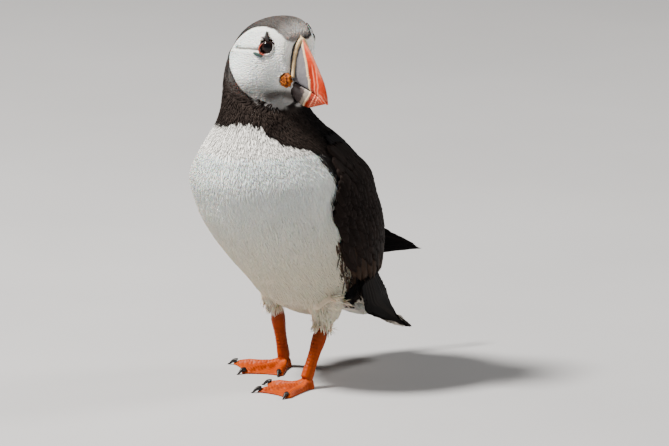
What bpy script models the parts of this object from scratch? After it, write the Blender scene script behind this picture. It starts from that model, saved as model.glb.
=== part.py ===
"""Atlantic puffin standing on both feet, life size, as closed solids parted where its parts have names.

The bird faces -Y, its left side is +X and +Z is up. Every dimension below is in millimetres.
Run with: blender --background --python part.py
"""

import math

import bmesh
import bpy
import numpy as np
from mathutils import Vector

MM = 0.001
GAP = 0.3  # clearance between neighbouring parts
FLAT_ANGLE = math.radians(2)
SIDES = {"left": 1, "right": -1}

# Trunk and neck: height, middle (aside, then forward as negative) and mean half width of each level section.
BODY_SECTIONS = (
    (34.0, 0.0, 13.5, 3.0),
    (36.0, 0.0, 13.0, 10.0),
    (39.0, 0.0, 12.5, 16.0),
    (46.7, 0.0, 11.0, 28.0),
    (58.4, 0.0, 10.5, 37.6),
    (74.0, 0.0, 4.0, 45.3),
    (92.8, 0.0, -4.8, 51.0),
    (108.0, 0.0, -12.0, 52.2),
    (123.8, 0.0, -17.3, 51.3),
    (133.0, 0.0, -20.2, 46.0),
    (141.8, 0.0, -22.2, 39.8),
    (150.7, -0.5, -23.7, 32.2),
    (160.2, -2.0, -25.0, 26.4),
    (172.0, -7.6, -21.0, 23.8),
    (179.0, -8.2, -21.2, 22.6),
    (186.0, -9.0, -21.5, 20.2),
    (191.0, -9.5, -22.0, 18.2),
    (196.0, -9.8, -22.5, 15.2),
    (201.0, -9.0, -22.8, 10.6),
    (204.0, -8.0, -23.0, 6.4),
)
WIDTH_SHARE = 0.9  # half width of a section over its mean half width
DEPTH_SHARE = math.sqrt(2 - WIDTH_SHARE**2)
NECK_BASE = 146.0
NECK_TOP = 204.0

# Head: its middle, where it looks, and level sections across its long axis.
HEAD_MIDDLE = np.array([3.5, -23.5, 189.2])
HEAD_YAW = math.radians(92)  # turned from straight ahead to the bird's left
HEAD_PITCH = math.radians(20)  # bill down
HEAD_FULLNESS = 2.1  # 2 is an ellipse
JOWL_FULLNESS = 2.8  # the same for the lower half
HEAD_SECTIONS = (  # forward, half width, top, bottom
    (-24.5, 1.6, 2.0, -3.0),
    (-23.6, 6.9, 6.4, -9.0),
    (-20.0, 14.9, 13.4, -16.8),
    (-14.0, 21.2, 20.5, -23.0),
    (-6.0, 25.0, 25.7, -26.5),
    (3.0, 25.1, 28.6, -26.6),
    (11.0, 20.8, 27.7, -25.4),
    (18.0, 14.9, 23.7, -22.6),
    (23.0, 10.4, 17.1, -17.9),
    (26.0, 7.6, 9.7, -14.2),
)

# Bill: forward and up in the head's frame.
BILL_BACK = 12.0  # how far back the bill reaches into the head
CULMEN = (
    (12.0, 23.4),
    (15.0, 22.4),
    (19.0, 20.3),
    (24.0, 17.6),
    (28.2, 14.8),
    (33.6, 10.4),
    (38.9, 5.9),
    (44.2, -0.9),
    (46.6, -5.2),
)
GAPE = ((12.0, -1.0), (24.0, -1.2), (31.0, -1.4), (37.0, -1.8), (42.0, -3.0), (46.0, -5.2))
GONYS = (
    (12.0, -11.5),
    (24.0, -13.4),
    (29.0, -14.1),
    (32.5, -13.7),
    (36.0, -12.2),
    (39.0, -9.9),
    (42.4, -7.4),
    (44.8, -5.6),
)
BILL_HALF_WIDTH = 8.4
UPPER_RIDGE = 0.14  # width of the ridge over the widest
LOWER_RIDGE = 0.35
LOWER_SHARE = 0.94
BILL_ARCH = 0.7  # power of the circle in a section towards the ridge; 1 is an ellipse
BILL_EDGE = 0.25  # the same towards the gape, where the bill is boxy
BILL_TAPER = (1.5, 0.8)  # powers of its narrowing towards the tip
BILL_TIP_HALF_WIDTH = 0.7
BILL_LEAST_HEIGHT = 0.6
BILL_FLARE = 1.9  # over 1 keeps the sides full until near the ridge
BILL_END = 46.6
LOWER_END = 44.8
CERE_RADIUS = 1.3
CERE_TOP = (15.9, 20.8)
CERE_FOOT = (24.0, 2.2)
CERE_HALF_WIDTH = 8.7  # at its feet
CERE_BEND = 1.2
CERE_STAND = 0.5  # of its middle line before the feathers
ROSETTE = (21.4, 10.7, -0.5)  # forward, aside, up
ROSETTE_SIZE = (4.0, 2.4, 4.0)

# Eyes: forward and up in the head's frame; the side of the head gives how far apart they are.
EYE = (8.7, 15.7)
EYE_RADIUS = 4.6
EYE_DEPTH = 3.7  # from the skin to the middle of the eyeball
RING_PLACE = (8.5, 14.5)
RING_SIZE = (3.2, 3.9)
RING_THICKNESS = 0.5
RING_LIFT = 0.3  # of its middle line over the skin
UPPER_PLATE = ((-3.5, 4.6), (1.7, 2.2), -1.0, 0.8)  # from the eye, half length and height, lean, taper
LOWER_PLATE = ((-2.4, -5.9), (2.7, 0.9), -0.2, 0.0)
PLATE_THICKNESS = 1.0

# Wings: a slab over the flank, from the shoulder to the ends of the secondaries.
WING_THICKNESS = 4.2
WING_EDGE = 0.9
WING_RISE = 0.8  # how far the wing stands above the flank round it
WING_TOP = 139.0
WING_HEM = {"left": (61.5, 61.5), "right": (80.0, 74.0)}  # height of the hem, in front and behind
WING_FRONT = ((61.0, 82.0), (80.0, 77.0), (100.0, 82.0), (120.0, 91.0), (139.0, 104.0))  # height, angle
WING_BACK = ((61.0, 138.0), (80.0, 150.0), (110.0, 152.0), (130.0, 142.0), (139.0, 128.0))

# Primaries: front edge and back edge of each blade, from under the hem to the tip.
PRIMARIES = {
    "left": (
        ((37.0, 11.0, 60.0), (23.5, 39.5, 60.0)),
        ((33.0, 16.5, 50.0), (20.0, 49.0, 50.0)),
        ((27.5, 25.5, 42.0), (16.0, 57.5, 40.5)),
        ((18.5, 50.0, 33.0), (12.5, 68.0, 30.5)),
        ((9.5, 79.0, 18.6), (8.0, 81.5, 17.4)),
    ),
    "right": (
        ((-35.2, 25.0, 72.5), (-28.2, 37.0, 83.5)),
        ((-32.0, 43.0, 68.0), (-26.0, 60.0, 81.0)),
        ((-22.0, 66.0, 62.5), (-18.0, 76.0, 74.0)),
        ((-13.5, 88.0, 59.5), (-11.5, 93.0, 67.0)),
        ((-7.4, 107.0, 57.6), (-7.0, 108.0, 59.8)),
    ),
}
BLADE_THICKNESS = (3.4, 3.0, 2.4, 1.8, 1.0)
BLADE_BOW = 0.073  # of its width

# Tail: middle, half width and thickness of each section, from the rump to the tips.
TAIL_SECTIONS = (
    ((0.0, 34.0, 48.0), 17.0, 25.0),
    ((0.0, 45.0, 42.0), 18.5, 24.0),
    ((0.0, 54.5, 37.5), 18.5, 17.5),
    ((0.0, 64.0, 31.5), 16.5, 8.0),
    ((0.0, 73.5, 25.2), 14.0, 3.4),
    ((0.0, 80.6, 20.2), 10.0, 2.0),
    ((0.0, 84.0, 17.8), 4.0, 1.2),
)

TAIL_ROOF = 0.10  # how far its edges hang, of its half width

# Legs: knee (inside the trunk), ankle and foot joint.
KNEE = {"left": (21.0, 3.0, 50.0), "right": (-20.0, -2.0, 50.0)}
ANKLE = {"left": (23.0, -6.0, 28.6), "right": (-24.6, 8.0, 30.5)}
FOOT_JOINT = {"left": (22.5, -16.0, 6.0), "right": (-27.0, 15.0, 6.0)}
SHIN_START = {"left": 0.82, "right": 0.62}  # where the bare leg begins, from the knee to the ankle
THIGH_RADII = {"left": (13.0, 10.0, 5.6), "right": (9.0, 8.0, 5.4)}
TARSUS_RADIUS = 3.6
ANKLE_RADIUS = 4.5

# Feet: heading of each toe from straight ahead towards the bird's left, and its length.
TOES = {
    "left": {"inner": (-66.0, 24.0), "middle": (-25.0, 30.0), "outer": (20.0, 28.5)},
    "right": {"inner": (38.0, 25.0), "middle": (-6.0, 31.0), "outer": (-56.0, 29.5)},
}
TOE_HEIGHT = 4.6
TOE_HALF_WIDTH = 2.3
TOE_EDGE = 0.5  # flat rim beside the outer toes
JOINT_RISE = 0.8  # top of the foot over its joint
WEB_HEIGHT = 1.1
WEB_SCALLOP = 0.17  # how far the web's edge is cut back between two toes
HEEL_RADIUS = 4.6
CLAW_LENGTH = 5.6
CLAW_RADIUS = 1.4

COLOURS = {  # base colour, roughness
    "white_plumage": ((0.86, 0.85, 0.82), 0.9),
    "black_plumage": ((0.022, 0.020, 0.021), 0.8),
    "flight_feather": ((0.045, 0.036, 0.030), 0.7),
    "head_plumage": ((0.80, 0.79, 0.77), 0.9),
    "leg_skin": ((0.86, 0.22, 0.03), 0.5),
    "claw_horn": ((0.05, 0.045, 0.045), 0.4),
    "bill_upper": ((0.80, 0.17, 0.06), 0.4),
    "bill_lower": ((0.78, 0.18, 0.05), 0.4),
    "bill_ridge": ((0.80, 0.66, 0.42), 0.6),
    "rosette_skin": ((0.86, 0.36, 0.02), 0.6),
    "eye": ((0.02, 0.012, 0.010), 0.05),
    "eye_ring": ((0.62, 0.08, 0.03), 0.5),
    "eye_plate": ((0.10, 0.11, 0.13), 0.5),
}


def new_collection(name):
    collection = bpy.data.collections.new(name)
    bpy.context.scene.collection.children.link(collection)
    return collection


def material(name):
    found = bpy.data.materials.get(name)
    if found:
        return found
    colour, roughness = COLOURS[name]
    made = bpy.data.materials.new(name)
    made.use_nodes = True
    shader = made.node_tree.nodes["Principled BSDF"]
    shader.inputs["Base Color"].default_value = (*colour, 1.0)
    shader.inputs["Roughness"].default_value = roughness
    return made


def mesh_object(name, builder, collection, finish=None):
    """An object from a bmesh in millimetres, in triangles so that a grown copy of it folds alike."""
    bmesh.ops.triangulate(builder, faces=builder.faces)
    bmesh.ops.scale(builder, vec=(MM, MM, MM), verts=builder.verts)
    bmesh.ops.recalc_face_normals(builder, faces=builder.faces)
    mesh = bpy.data.meshes.new(name)
    builder.to_mesh(mesh)
    builder.free()
    mesh.shade_smooth()
    mesh.set_sharp_from_angle(angle=math.radians(50))
    made = bpy.data.objects.new(name, mesh)
    collection.objects.link(made)
    if finish:
        mesh.materials.append(material(finish))
    return made


def smooth(table, at):
    """Every column of the table after its first, read at a place by a cubic through the rows."""
    rows = np.array([np.hstack([np.ravel(cell) for cell in row]) for row in table], float)
    places, values = rows[:, 0], rows[:, 1:]
    slopes = np.gradient(values, places, axis=0)
    at = float(np.clip(at, places[0], places[-1]))
    i = int(np.clip(np.searchsorted(places, at) - 1, 0, len(places) - 2))
    step = places[i + 1] - places[i]
    t = (at - places[i]) / step
    start = values[i] * (1 + 2 * t) * (1 - t) ** 2 + slopes[i] * step * t * (1 - t) ** 2
    end = values[i + 1] * t * t * (3 - 2 * t) + slopes[i + 1] * step * t * t * (t - 1)
    return start + end


def by_index(table):
    """The table with the row's number in front, to be read by smooth."""
    return [(float(i), *row) for i, row in enumerate(table)]


def loft(name, rings, collection, finish=None):
    """A closed solid through rings of the same number of points, with a fan at each end."""
    builder = bmesh.new()
    rows = [[builder.verts.new(Vector(point)) for point in ring] for ring in rings]
    count = len(rows[0])
    for first, second in zip(rows, rows[1:]):
        for i in range(count):
            j = (i + 1) % count
            builder.faces.new((first[i], first[j], second[j], second[i]))
    for row, ring in ((rows[0], rings[0]), (rows[-1], rings[-1])):
        middle = builder.verts.new(Vector(np.mean(ring, axis=0)))
        for i in range(count):
            builder.faces.new((row[i], row[(i + 1) % count], middle))
    return mesh_object(name, builder, collection, finish)


def grown(source, by):
    """A cutter: the object's mesh with each point moved out along its normal."""
    mesh = source.data.copy()
    normals = [vertex.normal.copy() for vertex in mesh.vertices]
    for vertex, normal in zip(mesh.vertices, normals):
        vertex.co = vertex.co + normal * by * MM
    made = bpy.data.objects.new(source.name + "_cutter", mesh)
    CUTTERS.objects.link(made)
    made.hide_render = True
    made.display_type = "WIRE"
    return made


def cut(target, *tools, solver="EXACT"):
    """Takes each tool, grown by the gap between parts, out of the target."""
    for tool in tools:
        cutter = grown(tool, GAP)
        modifier = target.modifiers.new("clear_" + tool.name, "BOOLEAN")
        modifier.operation = "DIFFERENCE"
        modifier.solver = solver
        modifier.object = cutter


def merge_flat_faces(*targets):
    """Joins the slivers that the cuts leave on faces that are flat anyway."""
    for target in targets:
        modifier = target.modifiers.new("merge_flat_faces", "DECIMATE")
        modifier.decimate_type = "DISSOLVE"
        modifier.angle_limit = FLAT_ANGLE


def body_point(angle, height, inset=0.0):
    """A point of the body's outer form: angle from straight ahead towards the bird's left, in degrees."""
    aside, forward, half = smooth(BODY_SECTIONS, height)
    turn = math.radians(angle)
    across = half * WIDTH_SHARE - inset
    along = half * DEPTH_SHARE - inset
    return np.array([aside + across * math.sin(turn), forward - along * math.cos(turn), height])


def body_rings(heights, around=26):
    return [[body_point(360 * i / around, z) for i in range(around)] for z in heights]


def head_point(forward, aside, up):
    """From the head's own frame (aside is the bird's right) to the bird's."""
    level = np.array([math.sin(HEAD_YAW), -math.cos(HEAD_YAW), 0.0])
    right = np.array([-math.cos(HEAD_YAW), -math.sin(HEAD_YAW), 0.0])
    rise = np.array([0.0, 0.0, 1.0])
    ahead = level * math.cos(HEAD_PITCH) - rise * math.sin(HEAD_PITCH)
    crown = rise * math.cos(HEAD_PITCH) + level * math.sin(HEAD_PITCH)
    return HEAD_MIDDLE + ahead * forward + right * aside + crown * up


def face_front(up):
    """How far forward the feathers of the face reach at a height: as far as the cere above the gape."""
    down = min(max((CERE_TOP[1] - up) / (CERE_TOP[1] - CERE_FOOT[1]), 0.0), 1.0)
    chin = max(CERE_FOOT[1] - up, 0.0)
    return CERE_TOP[0] + (CERE_FOOT[0] - CERE_TOP[0]) * down**CERE_BEND + min(chin, 4.0) - CERE_STAND


def head_fullness(rise):
    return HEAD_FULLNESS if rise > 0 else JOWL_FULLNESS


def head_ring(forward, around=22):
    half_width, top, bottom = smooth(HEAD_SECTIONS, forward)
    middle, half_height = (top + bottom) / 2, (top - bottom) / 2
    ring = []
    for i in range(around):
        turn = 2 * math.pi * i / around
        across, rise = math.cos(turn), math.sin(turn)
        power = head_fullness(rise)
        size = (abs(across) ** power + abs(rise) ** power) ** (-1 / power)
        up = middle + half_height * rise * size
        ring.append(head_point(min(forward, face_front(up)), half_width * across * size, up))
    return ring


def head_side(forward, up):
    """Half width of the head at a place seen from its side."""
    half_width, top, bottom = smooth(HEAD_SECTIONS, forward)
    rise = (up - (top + bottom) / 2) / ((top - bottom) / 2)
    power = head_fullness(rise)
    return half_width * (1 - min(abs(rise), 0.98) ** power) ** (1 / power)


def make_trunk():
    low = [34.0, 35.0, 37.0, 41.0]
    heights = low + list(np.linspace(47, NECK_BASE - GAP / 2, 11))
    return loft("trunk", body_rings(heights), PARTS, "white_plumage")


def make_neck():
    heights = np.linspace(NECK_BASE + GAP / 2, NECK_TOP, 7)
    return loft("neck", body_rings(heights), PARTS, "black_plumage")


def make_head():
    back, front = HEAD_SECTIONS[0][0], HEAD_SECTIONS[-1][0]
    middle, half_length = (back + front) / 2, (front - back) / 2
    turns = np.linspace(0, math.pi, 12)
    rings = [head_ring(middle - half_length * math.cos(turn)) for turn in turns]
    return loft("head", rings, PARTS, "head_plumage")


def bill_ring(forward, low, high, half_width, ridge_share, around=12):
    """A section of the bill: flat sides that lean in towards the ridge."""
    middle = (low + high) / 2
    half_height = (high - low) / 2
    ring = []
    for i in range(around):
        turn = 2 * math.pi * (i + 0.5) / around
        fullness = BILL_ARCH if turn < math.pi else BILL_EDGE
        across = math.copysign(abs(math.cos(turn)) ** fullness, math.cos(turn))
        rise = math.copysign(abs(math.sin(turn)) ** BILL_ARCH, math.sin(turn))
        lean = 1 - (1 - ridge_share) * ((rise + 1) / 2) ** BILL_FLARE
        ring.append(head_point(forward, half_width * across * lean, middle + half_height * rise))
    return ring


def bill_half_width(forward):
    """Widest where the bill leaves the face, thin at the tip."""
    share = (forward - BILL_BACK) / (BILL_END - BILL_BACK)
    return BILL_HALF_WIDTH * max(1 - share ** BILL_TAPER[0], 0.0) ** BILL_TAPER[1] + BILL_TIP_HALF_WIDTH


def bill_places(end, count):
    """Where the sections of a half of the bill lie, closer together towards its end."""
    return BILL_BACK + (end - BILL_BACK) * np.linspace(0, 1, count) ** 0.85


def make_bill():
    upper, lower = [], []
    for place in bill_places(BILL_END, 10):
        low = smooth(GAPE, place)[0] + GAP / 2
        high = max(smooth(CULMEN, place)[0], low + BILL_LEAST_HEIGHT)
        upper.append(bill_ring(place, low, high, bill_half_width(place), UPPER_RIDGE))
    for place in bill_places(LOWER_END, 8):
        high = smooth(GAPE, place)[0] - GAP / 2
        low = min(smooth(GONYS, place)[0], high - BILL_LEAST_HEIGHT)
        lower.append(bill_ring(place, high, low, bill_half_width(place) * LOWER_SHARE, LOWER_RIDGE))
    return loft("bill_upper", upper, PARTS, "bill_upper"), loft("bill_lower", lower, PARTS, "bill_lower")


def cere_route(count=15):
    """Over the bill's base from one side's gape to the other's, as a pointed arch."""
    points = []
    for aside in np.linspace(-1, 1, count):
        down = aside**2
        forward = CERE_TOP[0] + (CERE_FOOT[0] - CERE_TOP[0]) * down**CERE_BEND
        up = CERE_TOP[1] + (CERE_FOOT[1] - CERE_TOP[1]) * down
        points.append((forward, -aside * CERE_HALF_WIDTH, up))
    return points


def tube(name, route, radii, collection, finish, around=8, flat=1.0, keel=(0.0, 0.0, 1.0)):
    """A tapered tube along the route, flattened along the keel direction where flat is under 1."""
    route = [np.array(point, float) for point in route]
    rings = []
    for i, (point, radius) in enumerate(zip(route, radii)):
        ahead = route[min(i + 1, len(route) - 1)] - route[max(i - 1, 0)]
        ahead /= np.linalg.norm(ahead)
        side = np.cross(ahead, keel)
        side /= np.linalg.norm(side)
        rise = np.cross(side, ahead)
        turns = [2 * math.pi * j / around for j in range(around)]
        rings.append([point + radius * (side * math.cos(t) + rise * flat * math.sin(t)) for t in turns])
    return loft(name, rings, collection, finish)


def make_cere():
    """The rim round the bill's base, thickest over the ridge."""
    route = [head_point(*place) for place in cere_route()]
    radii = CERE_RADIUS * (0.8 + 0.2 * np.sin(np.linspace(0, math.pi, len(route))))
    ahead = head_point(1, 0, 0) - head_point(0, 0, 0)
    return tube("bill_ridge", route, radii, PARTS, "bill_ridge", keel=ahead)


def ellipsoid(name, middle, sizes, finish, rings=8, around=10, taper=0.0, lean=0.0):
    """An ellipsoid with sizes forward, aside and up in the head's frame, tapering and leaning as it rises."""
    levels = []
    for i in range(1, rings):
        rise = -math.cos(math.pi * i / rings)
        wide = math.sqrt(1 - rise * rise) * (1 - taper * (rise + 1) / 2)
        ring = []
        for j in range(around):
            turn = 2 * math.pi * j / around
            forward = middle[0] + sizes[0] * wide * math.cos(turn) + sizes[2] * rise * lean
            aside = middle[1] + sizes[1] * wide * math.sin(turn)
            ring.append(head_point(forward, aside, middle[2] + sizes[2] * rise))
        levels.append(ring)
    return loft(name, levels, PARTS, finish)


def on_face(side, forward, up, out=0.0):
    """A place on the side of the head in its own frame, raised along the surface's normal."""
    step = 0.5
    lean = (head_side(forward + step, up) - head_side(forward - step, up)) / (2 * step)
    tilt = (head_side(forward, up + step) - head_side(forward, up - step)) / (2 * step)
    normal = np.array([-lean, 1.0, -tilt]) / math.sqrt(1 + lean**2 + tilt**2)
    place = np.array([forward, head_side(forward, up), up]) + normal * out
    return place * np.array([1.0, -SIDES[side], 1.0])


def make_face(side):
    """Eye, its ring, the two plates by it and the rosette at the gape."""
    forward, up = EYE
    eye = ellipsoid("eye_" + side, on_face(side, forward, up, -EYE_DEPTH), (EYE_RADIUS,) * 3, "eye")
    route = []
    for turn in np.linspace(0, 2 * math.pi, 12, endpoint=False):
        ahead, over = RING_SIZE[0] * math.cos(turn), RING_SIZE[1] * math.sin(turn)
        route.append(on_face(side, RING_PLACE[0] + ahead, RING_PLACE[1] + over, RING_LIFT))
    ring = closed_tube("eye_ring_" + side, route, RING_THICKNESS, "eye_ring")
    plates = []
    for name, (offset, size, lean, taper) in (("upper", UPPER_PLATE), ("lower", LOWER_PLATE)):
        middle = on_face(side, forward + offset[0], up + offset[1])
        sizes = (size[0], PLATE_THICKNESS, size[1])
        plate = f"eye_plate_{name}_{side}"
        plates.append(ellipsoid(plate, middle, sizes, "eye_plate", 6, taper=taper, lean=lean))
    middle = (ROSETTE[0], -SIDES[side] * ROSETTE[1], ROSETTE[2])
    rosette = ellipsoid("rosette_" + side, middle, ROSETTE_SIZE, "rosette_skin")
    return eye, ring, *plates, rosette


def closed_tube(name, route, radius, finish, around=5):
    """A ring-shaped tube through points of the head's frame."""
    builder = bmesh.new()
    points = [head_point(*place) for place in route]
    middle = np.mean(points, axis=0)
    axis = head_point(0, 1, 0) - head_point(0, 0, 0)
    turns = np.linspace(0, 2 * math.pi, around, endpoint=False)
    rows = []
    for point in points:
        out = (point - middle) / np.linalg.norm(point - middle)
        section = [point + radius * (out * math.cos(turn) + axis * math.sin(turn)) for turn in turns]
        rows.append([builder.verts.new(place) for place in section])
    for i, row in enumerate(rows):
        after = rows[(i + 1) % len(rows)]
        for j in range(around):
            k = (j + 1) % around
            builder.faces.new((row[j], row[k], after[k], after[j]))
    return mesh_object(name, builder, PARTS, finish)


def slab(name, outer, inner, finish):
    """A closed solid between two grids of points of the same size."""
    builder = bmesh.new()
    tops = [[builder.verts.new(Vector(p)) for p in row] for row in outer]
    bottoms = [[builder.verts.new(Vector(p)) for p in row] for row in inner]
    rows, columns = len(tops), len(tops[0])
    for grid in (tops, bottoms):
        for i in range(rows - 1):
            for j in range(columns - 1):
                builder.faces.new((grid[i][j], grid[i][j + 1], grid[i + 1][j + 1], grid[i + 1][j]))
    rim = [(0, j) for j in range(columns)] + [(i, columns - 1) for i in range(1, rows)]
    rim += [(rows - 1, j) for j in range(columns - 2, -1, -1)] + [(i, 0) for i in range(rows - 2, 0, -1)]
    for (i, j), (k, m) in zip(rim, rim[1:] + rim[:1]):
        builder.faces.new((tops[i][j], tops[k][m], bottoms[k][m], bottoms[i][j]))
    return mesh_object(name, builder, PARTS, finish)


def make_wing(side):
    """The folded wing down to the ends of the secondaries, lying on the flank."""
    front_hem, back_hem = WING_HEM[side]
    outer, inner = [], []
    rows, columns = 11, 8
    for i in range(rows):
        down = i / (rows - 1)
        outer.append([])
        inner.append([])
        for j in range(columns):
            across = j / (columns - 1)
            hem = front_hem + (back_hem - front_hem) * across
            height = WING_TOP + (hem - WING_TOP) * down
            start, end = smooth(WING_FRONT, height)[0], smooth(WING_BACK, height)[0]
            angle = start + (end - start) * across
            edge = min(1.0, 6 * across, 6 * (1 - across), 5 * down + 0.1, 4 * (1 - down) + 0.35)
            depth = max(WING_THICKNESS * math.sqrt(edge), WING_EDGE)
            outer[-1].append(body_point(SIDES[side] * angle, height, -WING_RISE))
            inner[-1].append(body_point(SIDES[side] * angle, height, depth))
    return slab("wing_" + side, outer, inner, "black_plumage")


def make_primaries(side):
    """The hand's long feathers as one tapered blade, slightly rounded across."""
    table = by_index(
        [(front, back, thick) for (front, back), thick in zip(PRIMARIES[side], BLADE_THICKNESS)]
    )
    rings = []
    for place in np.linspace(0, len(table) - 1, 13):
        values = smooth(table, place)
        front, back, thick = values[:3], values[3:6], values[6]
        after = smooth(table, min(place + 0.1, len(table) - 1)) - smooth(table, max(place - 0.1, 0))
        normal = np.cross(back - front, after[:3] + after[3:6])
        normal *= math.copysign(1 / np.linalg.norm(normal), normal[0] * SIDES[side])
        ring = []
        for turn in np.linspace(0, 2 * math.pi, 10, endpoint=False):
            share = (1 - math.cos(turn)) / 2
            bow = BLADE_BOW * math.sin(math.pi * share) * np.linalg.norm(back - front)
            ring.append(front + (back - front) * share + normal * (bow + thick / 2 * math.sin(turn)))
        rings.append(ring)
    return loft("primaries_" + side, rings, PARTS, "flight_feather")


def make_tail():
    """Rump end, under-tail coverts and the short fan of tail feathers."""
    table = by_index(TAIL_SECTIONS)
    rings = []
    for place in np.linspace(0, len(table) - 1, 13):
        values = smooth(table, place)
        middle, half_width, thick = values[:3], values[3], values[4]
        ahead = smooth(table, min(place + 0.1, len(table) - 1))[:3] - smooth(table, max(place - 0.1, 0))[:3]
        ahead /= np.linalg.norm(ahead)
        rise = np.cross(np.array([1.0, 0.0, 0.0]), ahead)
        rise *= math.copysign(1.0, rise[2])
        ring = []
        for turn in np.linspace(0, 2 * math.pi, 16, endpoint=False):
            across = math.cos(turn)
            height = thick / 2 * math.sin(turn) - TAIL_ROOF * half_width * across**2
            ring.append(middle + np.array([half_width * across, 0, 0]) + rise * height)
        rings.append(ring)
    return loft("tail", rings, PARTS, "flight_feather")


def along(start, end, share):
    return np.array(start) + (np.array(end) - np.array(start)) * share


def make_leg(side):
    """Feathered thigh, then the bare leg with its ankle and foot joint."""
    knee, ankle, joint = KNEE[side], ANKLE[side], FOOT_JOINT[side]
    begin = SHIN_START[side]
    thigh_route = [along(knee, ankle, begin * t) for t in np.linspace(0, 1, 7)]
    radii = np.interp(np.linspace(0, 1, 7), (0, 0.5, 1), THIGH_RADII[side])
    thigh = tube("thigh_" + side, thigh_route, radii, PARTS, "white_plumage", 14, keel=(0.0, 1.0, 0.0))
    shin_route = [along(knee, ankle, begin - 0.12), along(knee, ankle, begin + 0.05)]
    shin_radii = [TARSUS_RADIUS + 0.3, TARSUS_RADIUS + 0.4]
    shin_route += [along(ankle, joint, t) for t in (-0.14, 0.0, 0.14, 0.32, 0.5, 0.7, 0.86, 1.0)]
    shin_radii += [4.0, ANKLE_RADIUS, 4.3, 3.8, TARSUS_RADIUS, TARSUS_RADIUS, 3.9, 4.0]
    tarsus = tube("tarsus_" + side, shin_route, shin_radii, PARTS, "leg_skin", 12, 0.86, (1.0, 0.0, 0.0))
    cut(thigh, tarsus)
    return thigh, tarsus


def foot_reach(side, heading):
    """How far the web or a toe goes at a heading, from the foot joint."""
    toes = sorted(TOES[side].values())
    if heading > 180 + (toes[0][0] + toes[-1][0]) / 2:
        heading -= 360
    for (low, near), (high, far) in zip(toes, toes[1:]):
        if low <= heading <= high:
            share = (heading - low) / (high - low)
            straight = near + (far - near) * share
            return straight * (1 - WEB_SCALLOP * math.sin(math.pi * share) ** 0.7)
    (low, near), (high, far) = toes[0], toes[-1]
    past = low - heading if heading < low else heading - high
    reach = near if heading < low else far
    beside = (TOE_HALF_WIDTH + TOE_EDGE) / math.sin(math.radians(min(max(past, 5), 90)))
    return max(min(reach, beside), HEEL_RADIUS)


def toe_bump(side, x, y):
    """Height of the toes over the web at a place on the ground, relative to the foot joint."""
    tallest = 0.0
    for heading, length in TOES[side].values():
        turn = math.radians(heading)
        ahead = x * math.sin(turn) - y * math.cos(turn)
        beside = abs(x * math.cos(turn) + y * math.sin(turn))
        beyond = max(-ahead, 0.0, ahead - length + TOE_HALF_WIDTH * 0.8)
        away = math.hypot(beside, beyond) / (TOE_HALF_WIDTH * 1.15)
        if away < 1:
            slope = 1 - 0.35 * min(max(ahead / length, 0), 1)
            knuckles = 1 + 0.10 * math.cos(2 * math.pi * 3 * ahead / length)
            tallest = max(tallest, TOE_HEIGHT * slope * knuckles * math.sqrt(1 - away**2))
    near_joint = math.hypot(x, y) / (HEEL_RADIUS + TOE_EDGE)
    if near_joint < 1:
        tallest = max(tallest, (FOOT_JOINT[side][2] + JOINT_RISE) * math.sqrt(1 - near_joint**2))
    return tallest


def make_foot(side):
    """Three toes joined by webs over one flat sole at the ground."""
    joint = FOOT_JOINT[side]
    toes = sorted(heading for heading, _ in TOES[side].values())
    headings = [heading + step for heading in toes for step in (-10, -6, -3, 0, 3, 6, 10)]
    for low, high in zip(toes, toes[1:]):
        headings += list(np.linspace(low + 10, high - 10, 4)[1:-1])
    headings += list(np.linspace(toes[-1] + 10, toes[0] + 350, 10)[1:-1])
    headings.sort()
    shares = (0.2, 0.45, 0.68, 0.88, 1.0)
    builder = bmesh.new()
    middle_top = builder.verts.new((joint[0], joint[1], joint[2] + JOINT_RISE))
    middle_sole = builder.verts.new((joint[0], joint[1], 0.0))
    tops, soles = [], []
    for heading in headings:
        turn = math.radians(heading)
        reach = foot_reach(side, heading)
        tops.append([])
        for share in shares:
            x, y = reach * share * math.sin(turn), -reach * share * math.cos(turn)
            height = WEB_HEIGHT if share == shares[-1] else max(WEB_HEIGHT, toe_bump(side, x, y))
            tops[-1].append(builder.verts.new((joint[0] + x, joint[1] + y, height)))
        rim = tops[-1][-1].co
        soles.append(builder.verts.new((rim.x, rim.y, 0.0)))
    count = len(headings)
    for i in range(count):
        j = (i + 1) % count
        builder.faces.new((middle_top, tops[i][0], tops[j][0]))
        builder.faces.new((middle_sole, soles[i], soles[j]))
        builder.faces.new((tops[i][-1], soles[i], soles[j], tops[j][-1]))
        for k in range(len(shares) - 1):
            builder.faces.new((tops[i][k], tops[i][k + 1], tops[j][k + 1], tops[j][k]))
    return mesh_object("foot_" + side, builder, PARTS, "leg_skin")


def make_claw(side, toe):
    """A curved claw that lies on the ground in front of its toe."""
    heading, length = TOES[side][toe]
    turn = math.radians(heading)
    joint = FOOT_JOINT[side]
    ahead = np.array([math.sin(turn), -math.cos(turn), 0.0])
    route, radii = [], []
    for share in np.linspace(0, 1, 6):
        place = length - 2.2 + CLAW_LENGTH * share
        radius = CLAW_RADIUS * (1 - 0.8 * share)
        height = radius + 0.05 + 1.3 * math.sin(math.pi * min(share + 0.25, 1.0))
        route.append(np.array([joint[0], joint[1], height]) + ahead * place)
        radii.append(radius)
    return tube(f"claw_{side}_{toe}", route, radii, PARTS, "claw_horn", 6)


def rest_on_middle():
    """Moves every mesh so that the origin is at the middle of the model's base."""
    bpy.context.view_layer.update()
    graph = bpy.context.evaluated_depsgraph_get()
    corners = []
    for made in PARTS.objects:
        evaluated = made.evaluated_get(graph)
        corners += [np.array(corner) for corner in evaluated.bound_box]
    low, high = np.min(corners, axis=0), np.max(corners, axis=0)
    shift = Vector((-(low[0] + high[0]) / 2, -(low[1] + high[1]) / 2, -low[2]))
    for made in list(PARTS.objects) + list(CUTTERS.objects):
        for vertex in made.data.vertices:
            vertex.co += shift


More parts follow.
